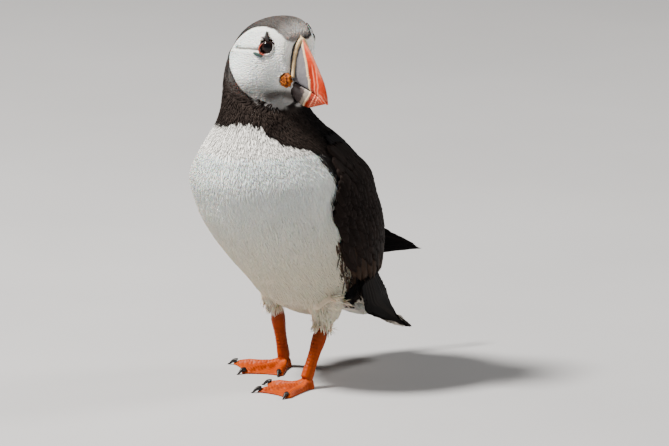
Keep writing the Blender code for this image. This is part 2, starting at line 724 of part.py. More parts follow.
def main():
    trunk, neck, head = make_trunk(), make_neck(), make_head()
    tail = make_tail()
    bill_upper, bill_lower = make_bill()
    cere = make_cere()
    cut(cere, bill_upper, bill_lower)
    cut(neck, head)
    for side in SIDES:
        eye, ring, upper, lower, rosette = make_face(side)
        cut(rosette, bill_upper, bill_lower, cere)
        for piece in (upper, lower):
            cut(piece, head, eye, solver="MANIFOLD")
        cut(ring, head, eye, upper, lower, solver="MANIFOLD")
        cut(head, eye, rosette)
    cut(head, bill_upper, bill_lower, cere)
    for side in SIDES:
        wing, primaries = make_wing(side), make_primaries(side)
        thigh, tarsus = make_leg(side)
        foot = make_foot(side)
        cut(trunk, wing, primaries, thigh)
        cut(neck, wing)
        cut(primaries, wing)
        cut(tail, primaries)
        cut(foot, tarsus)
        for toe in TOES[side]:
            cut(foot, make_claw(side, toe))
    cut(trunk, tail)
    merge_flat_faces(trunk, neck, head, tail)
    rest_on_middle()


for existing in list(bpy.data.objects):
    bpy.data.objects.remove(existing, do_unlink=True)
PARTS = new_collection("puffin")
CUTTERS = new_collection("cutters")
main()
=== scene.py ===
"""Looks of the standing Atlantic puffin: skin, a coat of solid feathers, bill, eyes, legs, floor and light.

Shapes are worked out in the bird's own frame, in millimetres: it faces -Y, its left side is +X and +Z is up.
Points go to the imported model's frame, in metres, only when a mesh is made. Colours are in linear light.
"""

import math

import bmesh
import bpy
import numpy as np
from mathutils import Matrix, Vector
from mathutils.bvhtree import BVHTree
from numpy.linalg import norm


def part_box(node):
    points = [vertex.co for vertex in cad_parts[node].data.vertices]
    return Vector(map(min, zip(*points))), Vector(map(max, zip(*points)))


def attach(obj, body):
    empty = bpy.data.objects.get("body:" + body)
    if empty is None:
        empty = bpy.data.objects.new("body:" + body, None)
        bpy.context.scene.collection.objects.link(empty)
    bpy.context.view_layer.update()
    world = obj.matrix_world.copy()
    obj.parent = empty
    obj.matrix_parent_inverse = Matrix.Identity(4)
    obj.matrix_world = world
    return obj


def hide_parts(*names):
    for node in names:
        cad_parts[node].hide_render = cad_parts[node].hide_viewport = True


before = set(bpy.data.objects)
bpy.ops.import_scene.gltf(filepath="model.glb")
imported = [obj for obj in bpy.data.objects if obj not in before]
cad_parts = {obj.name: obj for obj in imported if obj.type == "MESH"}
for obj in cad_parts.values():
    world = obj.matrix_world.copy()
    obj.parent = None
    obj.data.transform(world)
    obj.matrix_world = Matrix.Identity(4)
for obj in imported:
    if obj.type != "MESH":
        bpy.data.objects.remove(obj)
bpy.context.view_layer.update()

MM = 0.001
SIDES = {"left": 1, "right": -1}

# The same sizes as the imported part.
BODY_SECTIONS = (  # height, middle (aside, forward) and mean half width of a level section
    (34.0, 0.0, 13.5, 3.0), (36.0, 0.0, 13.0, 10.0), (39.0, 0.0, 12.5, 16.0), (46.7, 0.0, 11.0, 28.0),
    (58.4, 0.0, 10.5, 37.6), (74.0, 0.0, 4.0, 45.3), (92.8, 0.0, -4.8, 51.0), (108.0, 0.0, -12.0, 52.2),
    (123.8, 0.0, -17.3, 51.3), (133.0, 0.0, -20.2, 46.0), (141.8, 0.0, -22.2, 39.8),
    (150.7, -0.5, -23.7, 32.2), (160.2, -2.0, -25.0, 26.4), (172.0, -7.6, -21.0, 23.8),
    (179.0, -8.2, -21.2, 22.6), (186.0, -9.0, -21.5, 20.2), (191.0, -9.5, -22.0, 18.2),
    (196.0, -9.8, -22.5, 15.2), (201.0, -9.0, -22.8, 10.6), (204.0, -8.0, -23.0, 6.4),
)
WIDTH_SHARE = 0.9
DEPTH_SHARE = math.sqrt(2 - WIDTH_SHARE**2)

HEAD_MIDDLE = np.array([3.5, -23.5, 189.2])
HEAD_YAW = math.radians(92)  # turned from straight ahead to the bird's left
HEAD_PITCH = math.radians(20)  # bill down
HEAD_FULLNESS = 2.1  # 2 is an ellipse
JOWL_FULLNESS = 2.8  # the same for the lower half
HEAD_SECTIONS = (  # forward, half width, top, bottom
    (-24.5, 1.6, 2.0, -3.0), (-23.6, 6.9, 6.4, -9.0), (-20.0, 14.9, 13.4, -16.8),
    (-14.0, 21.2, 20.5, -23.0), (-6.0, 25.0, 25.7, -26.5), (3.0, 25.1, 28.6, -26.6),
    (11.0, 20.8, 27.7, -25.4), (18.0, 14.9, 23.7, -22.6), (23.0, 10.4, 17.1, -17.9),
    (26.0, 7.6, 9.7, -14.2),
)

# Bill: forward and up in the head's frame.
BILL_BACK = 12.0  # how far back the bill reaches into the head
CULMEN = (
    (12.0, 23.4), (15.0, 22.4), (19.0, 20.3), (24.0, 17.6), (28.2, 14.8), (33.6, 10.4), (38.9, 5.9),
    (44.2, -0.9), (46.6, -5.2),
)
GAPE = ((12.0, -1.0), (24.0, -1.2), (31.0, -1.4), (37.0, -1.8), (42.0, -3.0), (46.0, -5.2))
GONYS = (
    (12.0, -11.5), (24.0, -13.4), (29.0, -14.1), (32.5, -13.7), (36.0, -12.2), (39.0, -9.9), (42.4, -7.4),
    (44.8, -5.6),
)
BILL_HALF_WIDTH = 8.4
UPPER_RIDGE = 0.14  # width of the ridge over the widest
LOWER_RIDGE = 0.35
LOWER_SHARE = 0.94
BILL_ARCH = 0.7  # power of the circle in a section towards the ridge; 1 is an ellipse
BILL_EDGE = 0.25  # the same towards the gape, where the bill is boxy
BILL_TAPER = (1.5, 0.8)  # powers of its narrowing towards the tip
BILL_TIP_HALF_WIDTH = 0.7
BILL_LEAST_HEIGHT = 0.6
BILL_FLARE = 1.9  # over 1 keeps the sides full until near the ridge
BILL_END = 46.6
LOWER_END = 44.8
CERE_RADIUS = 1.3
CERE_TOP = (15.9, 20.8)
CERE_FOOT = (24.0, 2.2)
CERE_HALF_WIDTH = 8.7  # at its feet
CERE_BEND = 1.2
CERE_STAND = 0.5  # of its middle line before the feathers
ROSETTE = (21.4, 10.7, -0.5)  # forward, aside, up
ROSETTE_SIZE = (4.0, 2.4, 4.0)

# Eyes: forward and up in the head's frame; the side of the head gives how far apart they are.
EYE = (8.7, 15.7)
EYE_RADIUS = 4.6
EYE_DEPTH = 3.7  # from the skin to the middle of the eyeball
RING_PLACE = (8.5, 14.5)
RING_SIZE = (3.2, 3.9)
RING_THICKNESS = 0.5
UPPER_PLATE = ((-3.5, 4.6), (1.7, 2.2), -1.0, 0.8)  # from the eye, half length and height, lean, taper
LOWER_PLATE = ((-2.4, -5.9), (2.7, 0.9), -0.2, 0.0)

WING_TOP = 139.0
WING_HEM = {"left": (61.5, 61.5), "right": (80.0, 74.0)}
WING_FRONT = ((61.0, 82.0), (80.0, 77.0), (100.0, 82.0), (120.0, 91.0), (139.0, 104.0))
WING_BACK = ((61.0, 138.0), (80.0, 150.0), (110.0, 152.0), (130.0, 142.0), (139.0, 128.0))
PRIMARIES = {
    "left": (
        ((37.0, 11.0, 60.0), (23.5, 39.5, 60.0)),
        ((33.0, 16.5, 50.0), (20.0, 49.0, 50.0)),
        ((27.5, 25.5, 42.0), (16.0, 57.5, 40.5)),
        ((18.5, 50.0, 33.0), (12.5, 68.0, 30.5)),
        ((9.5, 79.0, 18.6), (8.0, 81.5, 17.4)),
    ),
    "right": (
        ((-35.2, 25.0, 72.5), (-28.2, 37.0, 83.5)),
        ((-32.0, 43.0, 68.0), (-26.0, 60.0, 81.0)),
        ((-22.0, 66.0, 62.5), (-18.0, 76.0, 74.0)),
        ((-13.5, 88.0, 59.5), (-11.5, 93.0, 67.0)),
        ((-7.4, 107.0, 57.6), (-7.0, 108.0, 59.8)),
    ),
}
TAIL_SECTIONS = (
    ((0.0, 34.0, 48.0), 17.0, 25.0), ((0.0, 45.0, 42.0), 18.5, 24.0), ((0.0, 54.5, 37.5), 18.5, 17.5),
    ((0.0, 64.0, 31.5), 16.5, 8.0), ((0.0, 73.5, 25.2), 14.0, 3.4), ((0.0, 80.6, 20.2), 10.0, 2.0),
    ((0.0, 84.0, 17.8), 4.0, 1.2),
)
ANKLE = {"left": (23.0, -6.0, 28.6), "right": (-24.6, 8.0, 30.5)}
FOOT_JOINT = {"left": (22.5, -16.0, 6.0), "right": (-27.0, 15.0, 6.0)}
TOES = {
    "left": {"inner": (-66.0, 24.0), "middle": (-25.0, 30.0), "outer": (20.0, 28.5)},
    "right": {"inner": (38.0, 25.0), "middle": (-6.0, 31.0), "outer": (-56.0, 29.5)},
}
CLAW_LENGTH = 5.6
CLAW_RADIUS = 1.4

WHITE = (0.90, 0.885, 0.85)
WHITE_WITH_PAINTED_WARM_BOUNCE = (0.82, 0.66, 0.47)
BLACK = (0.0020, 0.0018, 0.0023)
COLLAR = (0.016, 0.0115, 0.0100)
CROWN = (0.048, 0.040, 0.037)
SILVER = (0.33, 0.305, 0.295)
NAPE = (0.0125, 0.0098, 0.0092)
BROWN = (0.090, 0.054, 0.035)
TAN = (0.17, 0.11, 0.074)
QUILL = (0.0032, 0.0026, 0.0026)
CHEEK_PAINTED_SHADE = (0.25, 0.24, 0.235)
CHIN_PAINTED_SHADOW = (0.055, 0.044, 0.038)

# Plumage: its edges on the face and round the body, its depth and colours.
FACE_OUTLINE = (  # the white of the face seen from its side: forward and up, in order round it
    (22.6, 8.0), (20.4, 13.4), (17.8, 17.2), (14.9, 19.9), (11.2, 22.2), (6.4, 23.7), (2.0, 23.5),
    (-2.0, 22.1), (-6.0, 19.8), (-9.6, 16.5), (-12.2, 12.6), (-14.6, 8.4), (-16.4, 4.8), (-17.3, 1.6),
    (-17.3, -1.6), (-15.8, -4.8), (-12.2, -7.0), (-8.2, -8.8), (-4.2, -10.9), (0.6, -14.1), (4.2, -16.7),
    (7.4, -18.0), (11.4, -18.8), (15.0, -19.6), (18.6, -20.6), (22.2, -20.0), (25.6, -17.0), (28.5, -13.0),
    (30.0, 0.0), (24.5, 5.0),
)
CREASE = ((4.7, 11.9), (-0.6, 10.1), (-7.3, 6.6), (-12.3, 4.1))  # the groove behind the eye: forward and up
CHIN_SHADOW_LINE = ((24.5, -9.5), (20.5, -9.5), (16.5, -13.0))  # painted shadow: the dark smear under the gape
SPIKE = ((3.9, 21.6), (5.6, 19.8), (7.4, 17.6))  # the dark point over the eye
COLLAR_HEM = (  # lower edge of the collar: angle and height
    (-180.0, 100.0), (-95.0, 136.0), (-78.0, 144.0), (-62.0, 148.0), (-44.0, 151.7), (-12.0, 154.6),
    (19.0, 155.6), (45.0, 154.0), (63.0, 145.5), (76.0, 142.5), (91.0, 139.5), (100.0, 136.0),
    (180.0, 100.0),
)
SIDE_EDGE = (  # where the white of the front ends: height and angle
    (34.0, 150.0), (41.0, 142.0), (45.0, 100.0), (50.0, 93.0), (58.0, 90.0), (66.0, 86.0), (75.0, 81.0),
    (89.0, 82.0), (98.0, 89.0), (104.0, 85.0), (111.0, 80.5), (117.0, 86.0), (122.0, 89.5), (128.0, 92.5),
    (136.0, 90.5), (142.0, 93.0),
)
# A vane's width along it, as a share of its widest.
VANE_PROFILE = ((0.0, 0.35), (0.15, 0.75), (0.4, 1.0), (0.7, 0.98), (0.85, 0.82), (0.95, 0.5), (1.0, 0.16))
BILL_STRIPE = (  # the cream stripe: up, forward
    (-14.5, 30.4), (-12.9, 31.6), (-6.8, 34.8), (-3.9, 35.8), (-1.0, 35.4), (3.5, 33.2), (6.4, 30.9),
    (9.7, 28.2), (12.5, 25.7), (16.7, 21.4), (20.6, 17.2), (24.0, 13.5),
)
HEAD_FLOOR = 165.0  # skin lower than this is taken as neck or body
NECK_FLOOR = 146.0
HIP_BACK = 34.0  # the tail starts behind this
BODY_COAT, NECK_COAT, NAPE_COAT = 1.9, 1.4, 1.15  # from the outline down to the skin
FACE_THINNER = 0.65  # less than at the nape
CREASE_PAINTED_SHADE = (0.16, 0.155, 0.15)
SPIKE_DARK = (0.012, 0.009, 0.009)
ORBIT_RED = (0.070, 0.012, 0.008)
BACK_WORN = (0.007, 0.0055, 0.0050)
COLLAR_WORN = (0.034, 0.025, 0.021)

# Bill, lids and legs: colours and reliefs.
GROOVES = (3.2, 5.0)  # in front of the stripe
PALE_GREY = (0.185, 0.175, 0.185)
SLATE = (0.115, 0.110, 0.124)
LOWER_SLATE = (0.070, 0.054, 0.053)
BUFF = (0.34, 0.29, 0.24)
CREAM = (0.78, 0.57, 0.34)
RED = (0.62, 0.046, 0.008)
DEEP_RED = (0.27, 0.014, 0.002)
PINK = (0.72, 0.24, 0.14)
RING_SINK = -0.45  # of the ring's middle line over the outline, so it lies inside
LEG_ORANGE = (0.34, 0.046, 0.0)
LEG_RED = (0.27, 0.026, 0.0)
SCALE_EDGE = (0.09, 0.008, 0.0)
BILL_SEAM = 0.11  # half the gap between the bill's halves

# Skin and locks.
FLESH = ("head", "neck", "trunk", "tail", "wing_left", "wing_right", "thigh_left", "thigh_right")
SKIN_VOXEL, LEG_VOXEL = 1.5, 0.55
CLOSE_GAPS, LEG_GROWTH = 0.35, 0.25  # how far the solids grow to join
SKIN_SMOOTHING, LEG_SMOOTHING = 5, 3  # rounds
SKIN_SHADE = 0.94  # of the coat's colours: painted shade, the skin under the locks darker than the coat
SOCKET = {"reach": 2.2, "gap": 0.25, "opening": 2.6, "sink": 0.8}  # round the eyeball
CHEEK_RISE = 0.8
FACET_LEFT = 0.15  # share of the solids' facets that the skin keeps
BROW_SLOPE = 2.2  # how far the crown comes down to the bill
LEAST_BEND, MOST_BEND = 0.03, 2.5  # how far a lock's end comes off its straight line
LOCK_STATIONS = np.array([0.0, 0.38, 0.74, 1.0])
LOCK_WIDTHS = (0.75, 1.0, 0.72)  # at all but the last station, as shares of the widest
LOCK_THICKNESS = 0.38  # over its half width
LOCK_SWAY = 0.07
EDGE_JITTER = 0.05  # of a vane's half width
ROOT_JITTER = 0.14  # of the step between vanes
BARBS = (14, 40)  # across and along a vane
SEED = 7
BAKE_PATCH = 0.003  # side of a lock's or small feather's place on the unwrap

# View and stage.
VIEW_AZIMUTH = math.radians(45)
VIEW_ELEVATION = math.radians(12)
CAMERA_DISTANCE = 7.0
FRAME_WIDTH = 0.3813  # of the view, at the bird
FRAME_MIDDLE = (20.5, 88.4)  # millimetres to the right of and over the bird's own origin, in the view
SENSOR = 36.0
FLOOR_HALF_SIDE = 6.0
LIGHTS = (  # name, place, diameter, power, colour
    ("key", (-0.56, -1.06, 1.84), 0.36, 158.0, (1.0, 0.96, 0.90)),
    ("fill", (1.5, -0.6, 0.5), 1.4, 1.2, (1.0, 0.97, 0.93)),
    ("rim", (0.7, 1.2, 1.1), 0.5, 20.0, (1.0, 0.97, 0.92)),
)
LIGHTS_AIM = (0.0, 0.0, 0.10)


# ==== Numbers ====


def read(table, at):
    """Every column of the table after its first, read at many places by a cubic through the rows."""
    rows = np.array([np.hstack([np.ravel(cell) for cell in row]) for row in table], float)
    marks, values = rows[:, 0], rows[:, 1:]
    slopes = np.gradient(values, marks, axis=0)
    at = np.clip(np.asarray(at, float), marks[0], marks[-1])
    i = np.clip(np.searchsorted(marks, at) - 1, 0, len(marks) - 2)
    step = (marks[i + 1] - marks[i])[..., None]
    t = (at - marks[i])[..., None] / step
    start = values[i] * (1 + 2 * t) * (1 - t) ** 2 + slopes[i] * step * t * (1 - t) ** 2
    end = values[i + 1] * t * t * (3 - 2 * t) + slopes[i + 1] * step * t * t * (t - 1)
    return start + end


def curve(table, at):
    """The second column of a table of pairs at places in its first, in straight lines."""
    return np.interp(at, *np.array(table).T)


def by_index(table):
    return [(float(i), *row) for i, row in enumerate(table)]


def unit(vectors):
    return vectors / np.maximum(norm(vectors, axis=-1, keepdims=True), 1e-9)


def ease(low, high, at):
    """0 before low and 1 after high, with a smooth step between."""
    t = np.clip((np.asarray(at, float) - low) / (high - low), 0, 1)
    return t * t * (3 - 2 * t)


def mix(first, second, share):
    share = np.asarray(share, float)[..., None]
    return np.asarray(first, float) * (1 - share) + np.asarray(second, float) * share


def stacked(*parts):
    """Arrays of coordinates, broadcast together, as points."""
    return np.stack(np.broadcast_arrays(*parts), axis=-1)


def turns(count):
    """Angles of places round a circle."""
    return 2 * np.pi * np.arange(count) / count


def spun(turn, first, second):
    """Places at angles round a circle whose axes are first and second."""
    return first * np.cos(turn)[..., None] + second * np.sin(turn)[..., None]


def hash_noise(points, scale, seed=0):
    """Smooth value noise from -1 to 1 at points in millimetres, one cell to each scale."""
    at = np.asarray(points, float) / scale + seed * 17.31
    cell = np.floor(at).astype(np.int64)
    part = at - cell
    part = part * part * (3 - 2 * part)
    total = np.zeros(len(at))
    for corner in range(8):
        offset = np.array([(corner >> k) & 1 for k in range(3)])
        key = (cell + offset) * np.array([73856093, 19349663, 83492791])
        mixed = (key[:, 0] ^ key[:, 1] ^ key[:, 2]) & 0xFFFFFF
        value = (mixed * 1103515245 + 12345) % 65521 / 32760.5 - 1
        total += value * np.prod(np.where(offset == 1, part, 1 - part), axis=1)
    return total


# ==== The bird's two frames: round the body, and along the head ====

LEVEL = np.array([math.sin(HEAD_YAW), -math.cos(HEAD_YAW), 0.0])
RIGHT = np.array([-math.cos(HEAD_YAW), -math.sin(HEAD_YAW), 0.0])
UP = np.array([0.0, 0.0, 1.0])
AHEAD = LEVEL * math.cos(HEAD_PITCH) - UP * math.sin(HEAD_PITCH)
CROWNWARD = UP * math.cos(HEAD_PITCH) + LEVEL * math.sin(HEAD_PITCH)
HEAD_AXES = np.stack([AHEAD, RIGHT, CROWNWARD])


def head_point(forward, aside, up):
    """From the head's own frame (aside is the bird's right) to the bird's."""
    return HEAD_MIDDLE + stacked(forward, aside, up).astype(float) @ HEAD_AXES


def in_head(points):
    """Forward, aside and up of points in the head's own frame."""
    return (points - HEAD_MIDDLE) @ HEAD_AXES.T


def from_head_middle(points):
    return norm(points - HEAD_MIDDLE, axis=1)


def cere_share(up):
    """How far down the rim of the bill's base a height is: 0 at its top, 1 at its feet."""
    return np.clip((CERE_TOP[1] - up) / (CERE_TOP[1] - CERE_FOOT[1]), 0, 1)


def face_front(up):
    """How far forward the feathers of the face reach at a height."""
    chin = np.clip(CERE_FOOT[1] - up, 0, 4)
    return CERE_TOP[0] + (CERE_FOOT[0] - CERE_TOP[0]) * cere_share(up) ** CERE_BEND + chin - CERE_STAND


def head_fullness(rise):
    return np.where(np.asarray(rise) > 0, HEAD_FULLNESS, JOWL_FULLNESS)


def head_side(forward, up):
    """How far out the side of the head is."""
    section = read(HEAD_SECTIONS, forward)
    half_width, top, bottom = section[..., 0], section[..., 1], section[..., 2]
    rise = (up - (top + bottom) / 2) / ((top - bottom) / 2)
    power = head_fullness(rise)
    return half_width * (1 - np.minimum(np.abs(rise), 0.98) ** power) ** (1 / power)


def over_head_form(points):
    """How far points lie over the head's round form, in millimetres."""
    forward, aside, up = in_head(points).T
    half_width, top, bottom = read(HEAD_SECTIONS, forward).T
    rise = up - (top + bottom) / 2
    power = head_fullness(rise)
    radius = (np.abs(aside / half_width) ** power + np.abs(2 * rise / (top - bottom)) ** power) ** (1 / power)
    return np.hypot(aside, rise) * (1 - 1 / np.maximum(radius, 0.2))


def is_head(points):
    """True for the head's own surface, false for the neck and nape."""
    return (over_head_form(points) < 0.7) & (in_head(points)[:, 0] > -24.0) & (points[:, 2] > 163)


def on_face(side, forward, up, out=0.0):
    """A place on the side of the head in its own frame, raised along the surface's normal."""
    step = 0.5
    lean = (head_side(forward + step, up) - head_side(forward - step, up)) / (2 * step)
    tilt = (head_side(forward, up + step) - head_side(forward, up - step)) / (2 * step)
    normal = unit(np.stack([-lean, np.ones_like(lean), -tilt], axis=-1))
    place = stacked(forward, head_side(forward, up), up)
    return (place + normal * np.asarray(out)[..., None]) * np.array([1.0, -SIDES[side], 1.0])


def on_face_point(side, forward, up, out):
    """The same in the bird's frame."""
    return head_point(*np.moveaxis(on_face(side, forward, up, out), -1, 0))


def body_point(angle, height, out=0.0):
    """A point over the body's form: angle from straight ahead towards the bird's left, in degrees."""
    section = read(BODY_SECTIONS, height)
    turn = np.radians(angle)
    x = section[..., 0] + (section[..., 2] * WIDTH_SHARE + out) * np.sin(turn)
    y = section[..., 1] - (section[..., 2] * DEPTH_SHARE + out) * np.cos(turn)
    return stacked(x, y, height)


def round_body(points):
    """Angle, in degrees, and height of points round the body."""
    section = read(BODY_SECTIONS, points[:, 2])
    across = (points[:, 0] - section[:, 0]) / (section[:, 2] * WIDTH_SHARE)
    along = -(points[:, 1] - section[:, 1]) / (section[:, 2] * DEPTH_SHARE)
    return np.degrees(np.arctan2(across, along)), points[:, 2]


def eye_axis(side):
    """Middle of the eyeball and the way that it looks, in the bird's frame."""
    forward, up = np.array(EYE)
    middle, front = (on_face_point(side, forward, up, out) for out in (-EYE_DEPTH, 0.0))
    return middle, unit(front - middle)


def frame_shift():
    """From the bird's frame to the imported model's: an eye's middle in both."""
    low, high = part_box("eye_left")
    return (np.array(low) + np.array(high)) / 2 / MM - eye_axis("left")[0]


SHIFT = frame_shift()


# ==== Making meshes ====


def linked(name, data):
    made = bpy.data.objects.new(name, data)
    bpy.context.scene.collection.objects.link(made)
    return made


def paint(mesh, colours):
    """Gives the mesh its markings, a colour at each point."""
    layer = mesh.color_attributes.new("marking", "FLOAT_COLOR", "POINT")
    rgba = np.ones((len(mesh.vertices), 4), np.float32)
    rgba[:, :3] = np.clip(colours, 0, 1)
    layer.data.foreach_set("color", rgba.ravel())


def lay_flat(mesh, uvs):
    """Gives the mesh its map for baking, a place at each point."""
    layer = mesh.uv_layers.new(name="OFBake")
    corners = np.empty(len(mesh.loops), np.int32)
    mesh.loops.foreach_get("vertex_index", corners)
    layer.data.foreach_set("uv", uvs[corners].astype(np.float32).ravel())


def mesh_points(mesh):
    """Points and normals of a mesh in the bird's frame."""
    points, normals = np.empty((2, len(mesh.vertices) * 3), np.float32)
    mesh.vertices.foreach_get("co", points)
    mesh.vertices.foreach_get("normal", normals)
    return points.reshape(-1, 3).astype(float) / MM - SHIFT, normals.reshape(-1, 3).astype(float)


def set_points(mesh, points):
    mesh.vertices.foreach_set("co", ((points + SHIFT) * MM).astype(np.float32).ravel())
    mesh.update()


def make_mesh(name, points, faces, colours, uvs=None):
    """A mesh object from points in the bird's frame and arrays of triangles or quads; uvs are by point."""
    mesh = bpy.data.meshes.new(name)
    groups = [np.asarray(group, np.int32) for group in faces if len(group)]
    loops = np.concatenate([group.ravel() for group in groups])
    sizes = np.concatenate([np.full(len(group), group.shape[1], np.int32) for group in groups])
    mesh.vertices.add(len(points))
    mesh.vertices.foreach_set("co", ((points + SHIFT) * MM).astype(np.float32).ravel())
    mesh.loops.add(len(loops))
    mesh.loops.foreach_set("vertex_index", loops)
    mesh.polygons.add(len(sizes))
    mesh.polygons.foreach_set("loop_start", np.concatenate([[0], np.cumsum(sizes)[:-1]]).astype(np.int32))
    mesh.polygons.foreach_set("use_smooth", np.ones(len(sizes), bool))
    mesh.update(calc_edges=True)
    paint(mesh, colours)
    if uvs is not None:
        lay_flat(mesh, uvs)
    return linked(name, mesh)


def piece(made, finish, slot, *nodes):
    made.data.materials.clear()
    made.data.materials.append(finish)
    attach(made, "root")
    if nodes:
        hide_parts(*nodes)
    return made


def solid_piece(name, points, faces, colours, finish, slot, *nodes):
    """A closed solid, its faces turned outwards, that stands for CAD nodes."""
    made = make_mesh(name, points, faces, colours)
    builder = bmesh.new()
    builder.from_mesh(made.data)
    bmesh.ops.recalc_face_normals(builder, faces=builder.faces)
    builder.to_mesh(made.data)
    builder.free()
    return piece(made, finish, slot, *nodes)


def grid_faces(rows, columns, closed=False):
    """Quads of a grid of points, row by row; closed joins each row's ends."""
    i, j = np.meshgrid(np.arange(rows - 1), np.arange(columns if closed else columns - 1), indexing="ij")
    here, after = i * columns + j, i * columns + (j + 1) % columns
    return np.stack([here, after, after + columns, here + columns], -1).reshape(-1, 4)


def loft(rings):
    """Points and faces of a closed solid through rings of the same number of points."""
    rings = np.asarray(rings, float)
    rows, columns = rings.shape[:2]
    points = np.concatenate([rings.reshape(-1, 3), [rings[0].mean(axis=0), rings[-1].mean(axis=0)]])
    j = np.arange(columns)
    after = (j + 1) % columns
    first, last, start = rows * columns, rows * columns + 1, (rows - 1) * columns
    fans = (stacked(after, j, first), stacked(start + j, start + after, last))
    return points, [grid_faces(rows, columns, closed=True), np.concatenate(fans)]


def tube(route, radii, around, keel=UP):
    """A closed tube along a route; keel isn't along it anywhere."""
    ahead = unit(np.gradient(route, axis=0))
    side = unit(np.cross(ahead, keel))
    spread = spun(turns(around), side[:, None], np.cross(side, ahead)[:, None])
    return loft(route[:, None] + spread * radii[:, None, None])


# ==== Materials ====


def new_material(name, roughness, **sockets):
    made = bpy.data.materials.new(name)
    made.use_nodes = True
    shader = made.node_tree.nodes["Principled BSDF"]
    shader.inputs["Roughness"].default_value = roughness
    for socket, value in sockets.items():
        shader.inputs[socket.replace("_", " ")].default_value = value
    return made, made.node_tree, shader


def add(tree, kind, sources=(), **values):
    """A node with its sockets and settings; sources are (input, output it is linked from)."""
    node = tree.nodes.new(kind)
    for key, value in values.items():
        if key in node.inputs:
            node.inputs[key].default_value = value
        else:
            setattr(node, key, value)
    for socket, source in sources:
        tree.links.new(source, node.inputs[socket])
    return node


def noise(tree, scale, detail=3.0):
    """Noise on object coordinates; scale is features to the metre."""
    place = add(tree, "ShaderNodeTexCoord").outputs["Object"]
    made = add(tree, "ShaderNodeTexNoise", [("Vector", place)], Scale=scale, Detail=detail, Roughness=0.55)
    return made.outputs["Fac"]


def ramp(tree, source, low, high):
    """Grey or colour between low and high where noise goes from 0.3 to 0.7."""
    made = add(tree, "ShaderNodeValToRGB", [("Fac", source)])
    for element, place, colour in zip(made.color_ramp.elements, (0.3, 0.7), (low, high)):
        element.position = place
        element.color = (*colour, 1.0)
    return made.outputs["Color"]


def marked_material(name, roughness, fleck=(0.86, 1.12), fleck_scale=900.0, bump_depth=0.00012, **sockets):
    """Takes its colour from the piece's own markings, broken up by a fine fleck."""
    made, tree, shader = new_material(name, roughness, **sockets)
    marking = add(tree, "ShaderNodeAttribute", attribute_name="marking").outputs["Color"]
    grain = noise(tree, fleck_scale, detail=4.0)
    shade = ramp(tree, grain, (fleck[0],) * 3, (fleck[1],) * 3)
    blend = add(tree, "ShaderNodeMix", data_type="RGBA", blend_type="MULTIPLY")
    blend.inputs["Factor"].default_value = 1.0
    tree.links.new(marking, blend.inputs["A"])
    tree.links.new(shade, blend.inputs["B"])
    tree.links.new(blend.outputs["Result"], shader.inputs["Base Color"])
    bump = add(tree, "ShaderNodeBump", [("Height", grain)], Strength=0.5, Distance=bump_depth)
    tree.links.new(bump.outputs["Normal"], shader.inputs["Normal"])
    return made


PLUMAGE = marked_material(
    "plumage_barbs", 0.82, (0.94, 1.04), Specular_IOR_Level=0.2, Sheen_Weight=0.1, Subsurface_Weight=0.3,
    Subsurface_Scale=0.0012,
)
DARK_PLUMAGE = marked_material("dark_plumage_barbs", 0.75, (0.7, 1.3), Specular_IOR_Level=0.06)
VANE = marked_material("vane_barbs", 0.62, (0.75, 1.25), 1600.0, Specular_IOR_Level=0.03)
SKIN = marked_material("skin_under_coat", 0.9, (0.95, 1.04), Specular_IOR_Level=0.1)
LEG = marked_material("leg_skin_scales", 0.5, (0.86, 1.10), 700.0, 0.0002, Specular_IOR_Level=0.16)
BILL = marked_material("bill_horn_grown", 0.38, (0.90, 1.08), 500.0, 0.00008, Specular_IOR_Level=0.35)
SOFT_HORN = marked_material("soft_horn", 0.6, (0.85, 1.12), 1400.0, 0.00018, Specular_IOR_Level=0.2)
CLAW = marked_material("claw_horn_worn", 0.42, (0.6, 1.4), 800.0, Specular_IOR_Level=0.3)
EYE_GLOSS = marked_material("eye_wet", 0.07, (0.92, 1.08), bump_depth=0.0, Specular_IOR_Level=0.22)
LID_SKIN = marked_material("lid_skin", 0.5, (0.8, 1.15), 2500.0, 0.0002)


# ==== Markings, the same for skin and coat ====


def line_distance(line, forward, up):
    """Distance from places on the side of the head to a bent line there."""
    nearest = np.full(len(forward), 1e9)
    place = np.stack([forward, up], -1)
    for start, end in zip(line, line[1:]):
        start, along = np.array(start), np.array(end) - np.array(start)
        share = np.clip(((place - start) @ along) / (along @ along), 0, 1)
        nearest = np.minimum(nearest, norm(place - start - share[:, None] * along, axis=1))
    return nearest


def face_depth(forward, up):
    """How far inside the white of the face a place is, in millimetres; outside it is negative."""
    outline = (*FACE_OUTLINE, FACE_OUTLINE[0])
    inside = np.zeros(len(forward), bool)
    for (x0, y0), (x1, y1) in zip(outline, outline[1:]):
        at = x0 + (up - y0) / (y1 - y0 + 1e-12) * (x1 - x0)
        inside ^= ((y0 > up) != (y1 > up)) & (forward < at)
    nearest = line_distance(outline, forward, up)
    return np.where(inside, nearest, -nearest)


